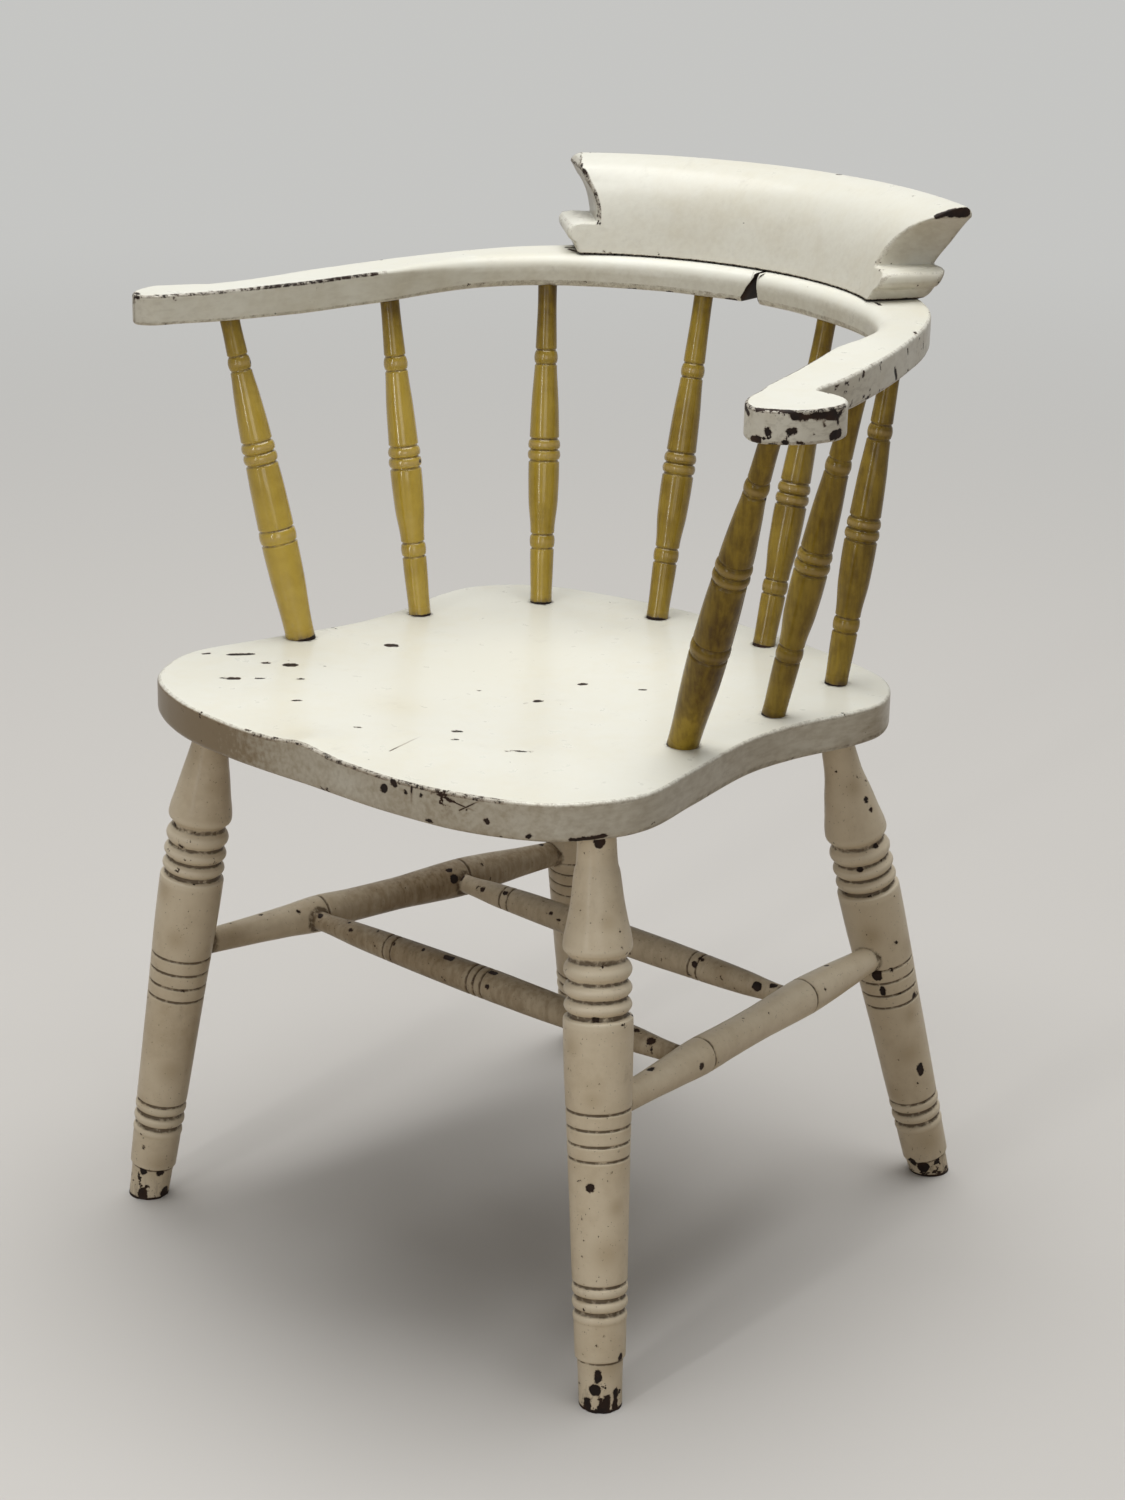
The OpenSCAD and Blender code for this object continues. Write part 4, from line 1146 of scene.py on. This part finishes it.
crestLook = {
    "radius": 235, "height": 69, "half": 35, "block": 23.5, "cove": 38.4,
    "rows": 66, "columns": 190, "extra": 14, "thick": 12,
    "skew": 0.35, "trim": 6.2,  # how the left end is sawn further round
    "knocks": [  # first x, y, z; last x, y, z; size
        (145, 227, 770, 151, 238, 770, 3.6), (139, 218, 768, 143, 224, 770, 2.4),
        (155, 245, 768, 154, 243, 757, 1.6), (152, 243, 758, 142, 242, 757, 0.7),
        (-197, 196, 767, -194, 192, 762, 1.5), (-186, 190, 757, -185, 189, 752, 0.9),
        (-148, 169, 708, -138, 174, 706, 1.3), (-184, 178, 706, -178, 181, 706, 2.0),
        (-120, 180, 706, -115, 182, 706, 1.4)],
}


def crestEnd(h):  # how far the crest's end stands out past its end station, at a height
    look = crestLook
    if h > look["block"]:  # a cove above the ledge, then the blunt ear
        rise = min(h, 61) - look["block"] - 3.5
        return look["cove"] - 14.5 - math.sqrt(look["cove"] ** 2 - rise ** 2) - max(h - 63, 0) * 0.12
    face = np.interp(h, [0, 6, 13, look["block"]], [-1, 2, 4, -2])
    bead = 42.25 - (h - 15.8) ** 2
    return max(face, 2 + math.sqrt(bead)) if bead > 0 else face


def makeCrest():
    look = crestLook
    h, block = look["height"], look["block"]
    t = np.linspace(0, 1, look["rows"])[:, None]
    curve = curveAt(*(np.array([point]) for point in ((0, 0), (14, 0.4 * h), (24, 0.957 * h), (70.5, h))), t)
    heights = np.concatenate([curve[:, 1], [0.5, 1.2, 2.2], np.linspace(8, block, 20), [block + 0.6]])
    heights = np.unique(heights)
    heights = heights[np.concatenate([[True], np.diff(heights) > 0.12])]
    front = np.interp(heights, curve[:, 1], curve[:, 0]) + look["radius"]
    backLine = [(0, 42), (0.05, 47), (0.13, 50.5), (0.28, 56), (0.36, 59.5), (0.6, 71.5), (0.78, 76.3),
                (0.86, 77.2), (0.91, 77.2), (0.955, 76), (0.985, 73.8), (1, 71.5)]
    back = smoothRadius([(share * h, out) for share, out in backLine], heights) + look["radius"]
    back = np.maximum(back, front + 0.5)
    half = math.radians(look["half"])
    main, extra, thick = look["columns"], look["extra"], look["thick"]
    edge = crestEnd(block + 1e-6)

    def halfRing(rf, rb, end, collapsed):
        # angles and radii from the middle of the front round to the middle of the back
        base = end if collapsed else edge
        angles, radii = [], []
        for radius, run in ((rf, 1), (rb, -1)):
            bend, last = (half + math.asin(d / radius) for d in (base, end))
            inner = np.linspace(0, bend, main // 2 + 1)
            line = np.concatenate([inner, np.linspace(bend, last, extra + 1)[1:]])[::run]
            angles.append(line)
            radii.append(np.full(len(line), radius))
        low, high = math.sqrt(rf * rf - end * end), math.sqrt(rb * rb - end * end)
        depth = np.linspace(low, high, thick + 1)[1:-1]
        return (np.concatenate([angles[0], half + np.arctan2(end, depth), angles[1]]),
                np.concatenate([radii[0], np.hypot(depth, end), radii[1]]))

    lower, upper = [], []
    for z, rf, rb in zip(heights, front, back):
        if z < block + 1e-6:
            lower.append((z, *halfRing(rf, rb, crestEnd(z), False)))
        if z > block - 1e-6:
            upper.append((z, *halfRing(rf, rb, edge if z < block + 1e-6 else crestEnd(z), True)))

    def placed(angles, radii, z, side=1):
        depth = radii - np.interp(z, heights, front)
        radii = radii - 3.0 * np.clip(angles / half, 0, 1.1) ** 5 * np.clip((275 - radii) / 35, 0, 1)
        x = radii * np.sin(angles)
        if side < 0:
            nearEnd = np.clip(angles / half * 2.2 - 1.2, 0, 1) ** 2
            sawn = np.interp(z, [8, 30], [0.2, look["skew"]]) * depth
            sawn = sawn - look["trim"] * np.clip((z - 52) / 9, 0, 1)
            x = -x - sawn * nearEnd
        return np.stack([x, radii * np.cos(angles) + armPlan["centreY"], np.full(np.shape(radii), z)], -1)

    sheets = []
    for levels, capped in ((lower, 0), (upper, len(upper) - 1)):
        rings = []
        for z, angles, radii in levels:
            rings.append(np.vstack([placed(angles, radii, z), placed(angles, radii, z, -1)[-2:0:-1]]))
        n = len(rings[0])
        faces = gridFaces(len(rings), n, True).tolist()
        for k in range(n // 4):  # the foot and the top close between the front line and the back line
            for sign in (1, -1):
                loop = [capped * n + sign * m % n for m in (k, k + 1, n // 2 - k - 1, n // 2 - k)]
                faces.append(loop if loop[1] != loop[2] else loop[:2] + loop[3:])
        sheets.append((np.vstack(rings), faces))

    # the ledge on the block, where the crest's end steps back
    corner = main // 2 + extra
    (z, a0, r0), (_, a1, r1) = upper[0], lower[-1]
    share = np.linspace(0, 1, extra + 1)[:, None]
    span = slice(corner, corner + thick + 1)
    angles = a0[span] + (a1[span] - a0[span]) * share
    radii = r0[span] + (r1[span] - r0[span]) * share
    for side in (1, -1):
        ledge = placed(angles, radii, z, side)
        sheets.append((ledge.reshape(-1, 3), gridFaces(extra + 1, thick + 1)))
    lift = (0, 0, armPlan["bottom"] + armPlan["thick"])
    crest = solidMesh("crest", [(rowPlace(turnBow(points + lift)), faces) for points, faces in sheets])
    soften(crest.data, 26, 6)
    return crest


crest = makeCrest()
points = readPoints(crest.data)
at = points / mm
height = at[:, 2] - armPlan["bottom"] - armPlan["thick"]
edges = edgeField(crest.data)
writeField(crest.data, "proud", edges)
outerEnd = (np.hypot(*(at[:, :2] - armPlan["heart"]).T) > 225) & (np.abs(at[:, 0] + 20) > 150)
ledgeLine = np.clip(1 - np.abs(height - crestLook["block"]) / 1.5, 0, 1) * outerEnd
writeField(crest.data, "hollow", np.clip(1 - height / 2.2, 0, 1) + ledgeLine * 0.5)
writeField(crest.data, "stain", np.clip(1 - height / 9, 0, 1) * 0.3)
# the left end's face and the steep front get painted shade, with some dirt
leftEnd = (at[:, 0] < -160) & (height > 24) & (height < 66) & (readNormals(crest.data)[:, 0] < -0.3)
steep = np.maximum(sideShadeAndSoil(crest.data, -0.25, 0.3, 0.4), sideShadeAndSoil(crest.data, 0.3, 0.9, 0.2))
writeField(crest.data, "soilAndShade", 0.1 + leftEnd * 0.35 + steep)
sharp = at[(edges > onEdge) & (height > 3)]
# along the left ear's edges a dark line: painted shadow along the facet's edges, with wear
ear = sharp[(sharp[:, 0] < -150) & (sharp[:, 2] > 732)]
worn = np.maximum(wornLine(points, sharp, -0.6), wornLine(points, ear, -0.05))
writeField(crest.data, "line", np.maximum(worn, 1.5 - height))
finishPiece(crest, "crest", "white_paint", knocksFrom(crestLook["knocks"]))

# the screws are shown as they are; the other nodes stand behind their painted pieces
paintOf = {
    "leg": "cream_paint", "stretcher": "cream_paint", "post": "yellow_paint", "spindle": "yellow_paint",
    "seat": "white_paint", "arm": "white_paint", "crest": "white_paint",
}
for name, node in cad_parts.items():
    kind = "old_steel" if name == "crest_screws" else paintOf[name.split("_")[0]]
    node.data.materials.clear()
    node.data.materials.append(finishes[kind])
print("seat, arms and crest made")


# floor, light and view
def seenRays(flow):  # the camera's rays, and those that mirrors and glass send on
    rays = flow.node("ShaderNodeLightPath").socket.node.outputs
    kinds = ("Is Camera Ray", "Is Glossy Ray", "Is Transmission Ray")
    direct, mirrored, through = (Flow(flow.tree, rays[kind]) for kind in kinds)
    return direct.top(mirrored).top(through)


def floorMaterial(name, seen, felt, far):
    # seen by the camera and in highlights, felt as bounced light; far away it turns into one even tone
    material, flow = openMaterial(name)
    direct = seenRays(flow)
    shader = flow.node("ShaderNodeBsdfPrincipled", {}, {
        "Base Color": direct.blend((*felt, 1), (*seen, 1)), "Roughness": 0.9, "Specular IOR Level": 0.1})
    place = flow.node("ShaderNodeTexCoord", {}, {}, "Object")
    reach = flow.node("ShaderNodeVectorMath", {"operation": "LENGTH"}, {0: place}, 1)
    even = flow.node("ShaderNodeEmission", {}, {"Color": (*far, 1)})
    share = reach.rise(stageLook["evenFrom"], stageLook["evenAt"]) * direct
    shader = flow.node("ShaderNodeMixShader", {}, {0: share, 1: shader, 2: even})
    flow.node("ShaderNodeOutputMaterial", {}, {"Surface": shader})
    return material


stageLook = {
    "size": 60, "seen": (0.60, 0.58, 0.55), "felt": (0.34, 0.28, 0.21), "far": (0.56, 0.56, 0.545),
    "evenFrom": 0.9, "evenAt": 4.2,
}
half, low = stageLook["size"] / 2, cadBox[0][2]
corners = [(x * half, y * half, low) for x, y in ((-1, -1), (1, -1), (1, 1), (-1, 1))]
ground = bpy.data.meshes.new("floor")
ground.from_pydata(corners, [], [(0, 1, 2, 3)])
ground.materials.append(floorMaterial("paleFloor", stageLook["seen"], stageLook["felt"], stageLook["far"]))
floor = linked("floor", ground)

lightLook = {
    "sky": (0.90, 0.90, 0.88), "skyStrength": 0.17, "skySeen": (0.56, 0.56, 0.545),
    # name: place, aimed at, width, height, watts
    "lamps": {
        "window": ((-0.35, 0.5, 5.4), (0, 0, 0.45), 4.4, 4.4, 294),
        "strip": ((0.30, -3.0, 1.25), (0, 0, 0.55), 0.13, 1.9, 16),
        "side": ((2.3, -2.3, 1.2), (0, 0, 0.35), 1.4, 1.6, 12),
    },
}
world = bpy.data.worlds.new("studio")
world.use_nodes = True
bpy.context.scene.world = world
world.node_tree.nodes.clear()
flow = Flow(world.node_tree)
shown = flow.node("ShaderNodeBackground", {}, {"Color": (*lightLook["skySeen"], 1), "Strength": 1.0})
given = flow.node("ShaderNodeBackground", {}, {
    "Color": (*lightLook["sky"], 1), "Strength": lightLook["skyStrength"]})
sky = flow.node("ShaderNodeMixShader", {}, {0: seenRays(flow), 1: given, 2: shown})
flow.node("ShaderNodeOutputWorld", {}, {"Surface": sky})


def standAt(thing, place, right, up, back):  # its own x, y and z axes point right, up and back
    rows = zip(np.stack([right, up, back], 1), place)
    thing.matrix_world = Matrix([(*row, at) for row, at in rows] + [(0, 0, 0, 1)])


for name, (place, target, width, height, watts) in lightLook["lamps"].items():
    lamp = bpy.data.lights.new(name, "AREA")
    lamp.shape = "RECTANGLE"
    lamp.size = width
    lamp.size_y = height
    lamp.energy = watts
    back = np.array(place, float) - np.array(target, float)
    back /= np.linalg.norm(back)
    right = np.cross((0, 0, 1), back)
    right /= np.linalg.norm(right)
    standAt(linked(name, lamp), place, right, np.cross(back, right), back)

viewLook = {"place": (1.5521, -1.8112, 1.2025), "around": 41.05, "down": 19.23, "roll": 1.29, "lens": 80.3}
a, e, r = (math.radians(viewLook[k]) for k in ("around", "down", "roll"))
back = np.array([math.sin(a) * math.cos(e), -math.cos(a) * math.cos(e), math.sin(e)])
right = np.array([math.cos(a), math.sin(a), 0])
up = np.cross(back, right)
lens = bpy.data.cameras.new("view")
lens.lens = viewLook["lens"]
lens.sensor_width = 36
lens.clip_start = 0.05
lens.clip_end = 100
camera = linked("view", lens)
rolledRight = right * math.cos(r) + up * math.sin(r)
rolledUp = up * math.cos(r) - right * math.sin(r)
standAt(camera, viewLook["place"], rolledRight, rolledUp, back)
bpy.context.scene.camera = camera
bpy.context.scene.view_settings.view_transform = "Standard"
print("floor, light and view set")
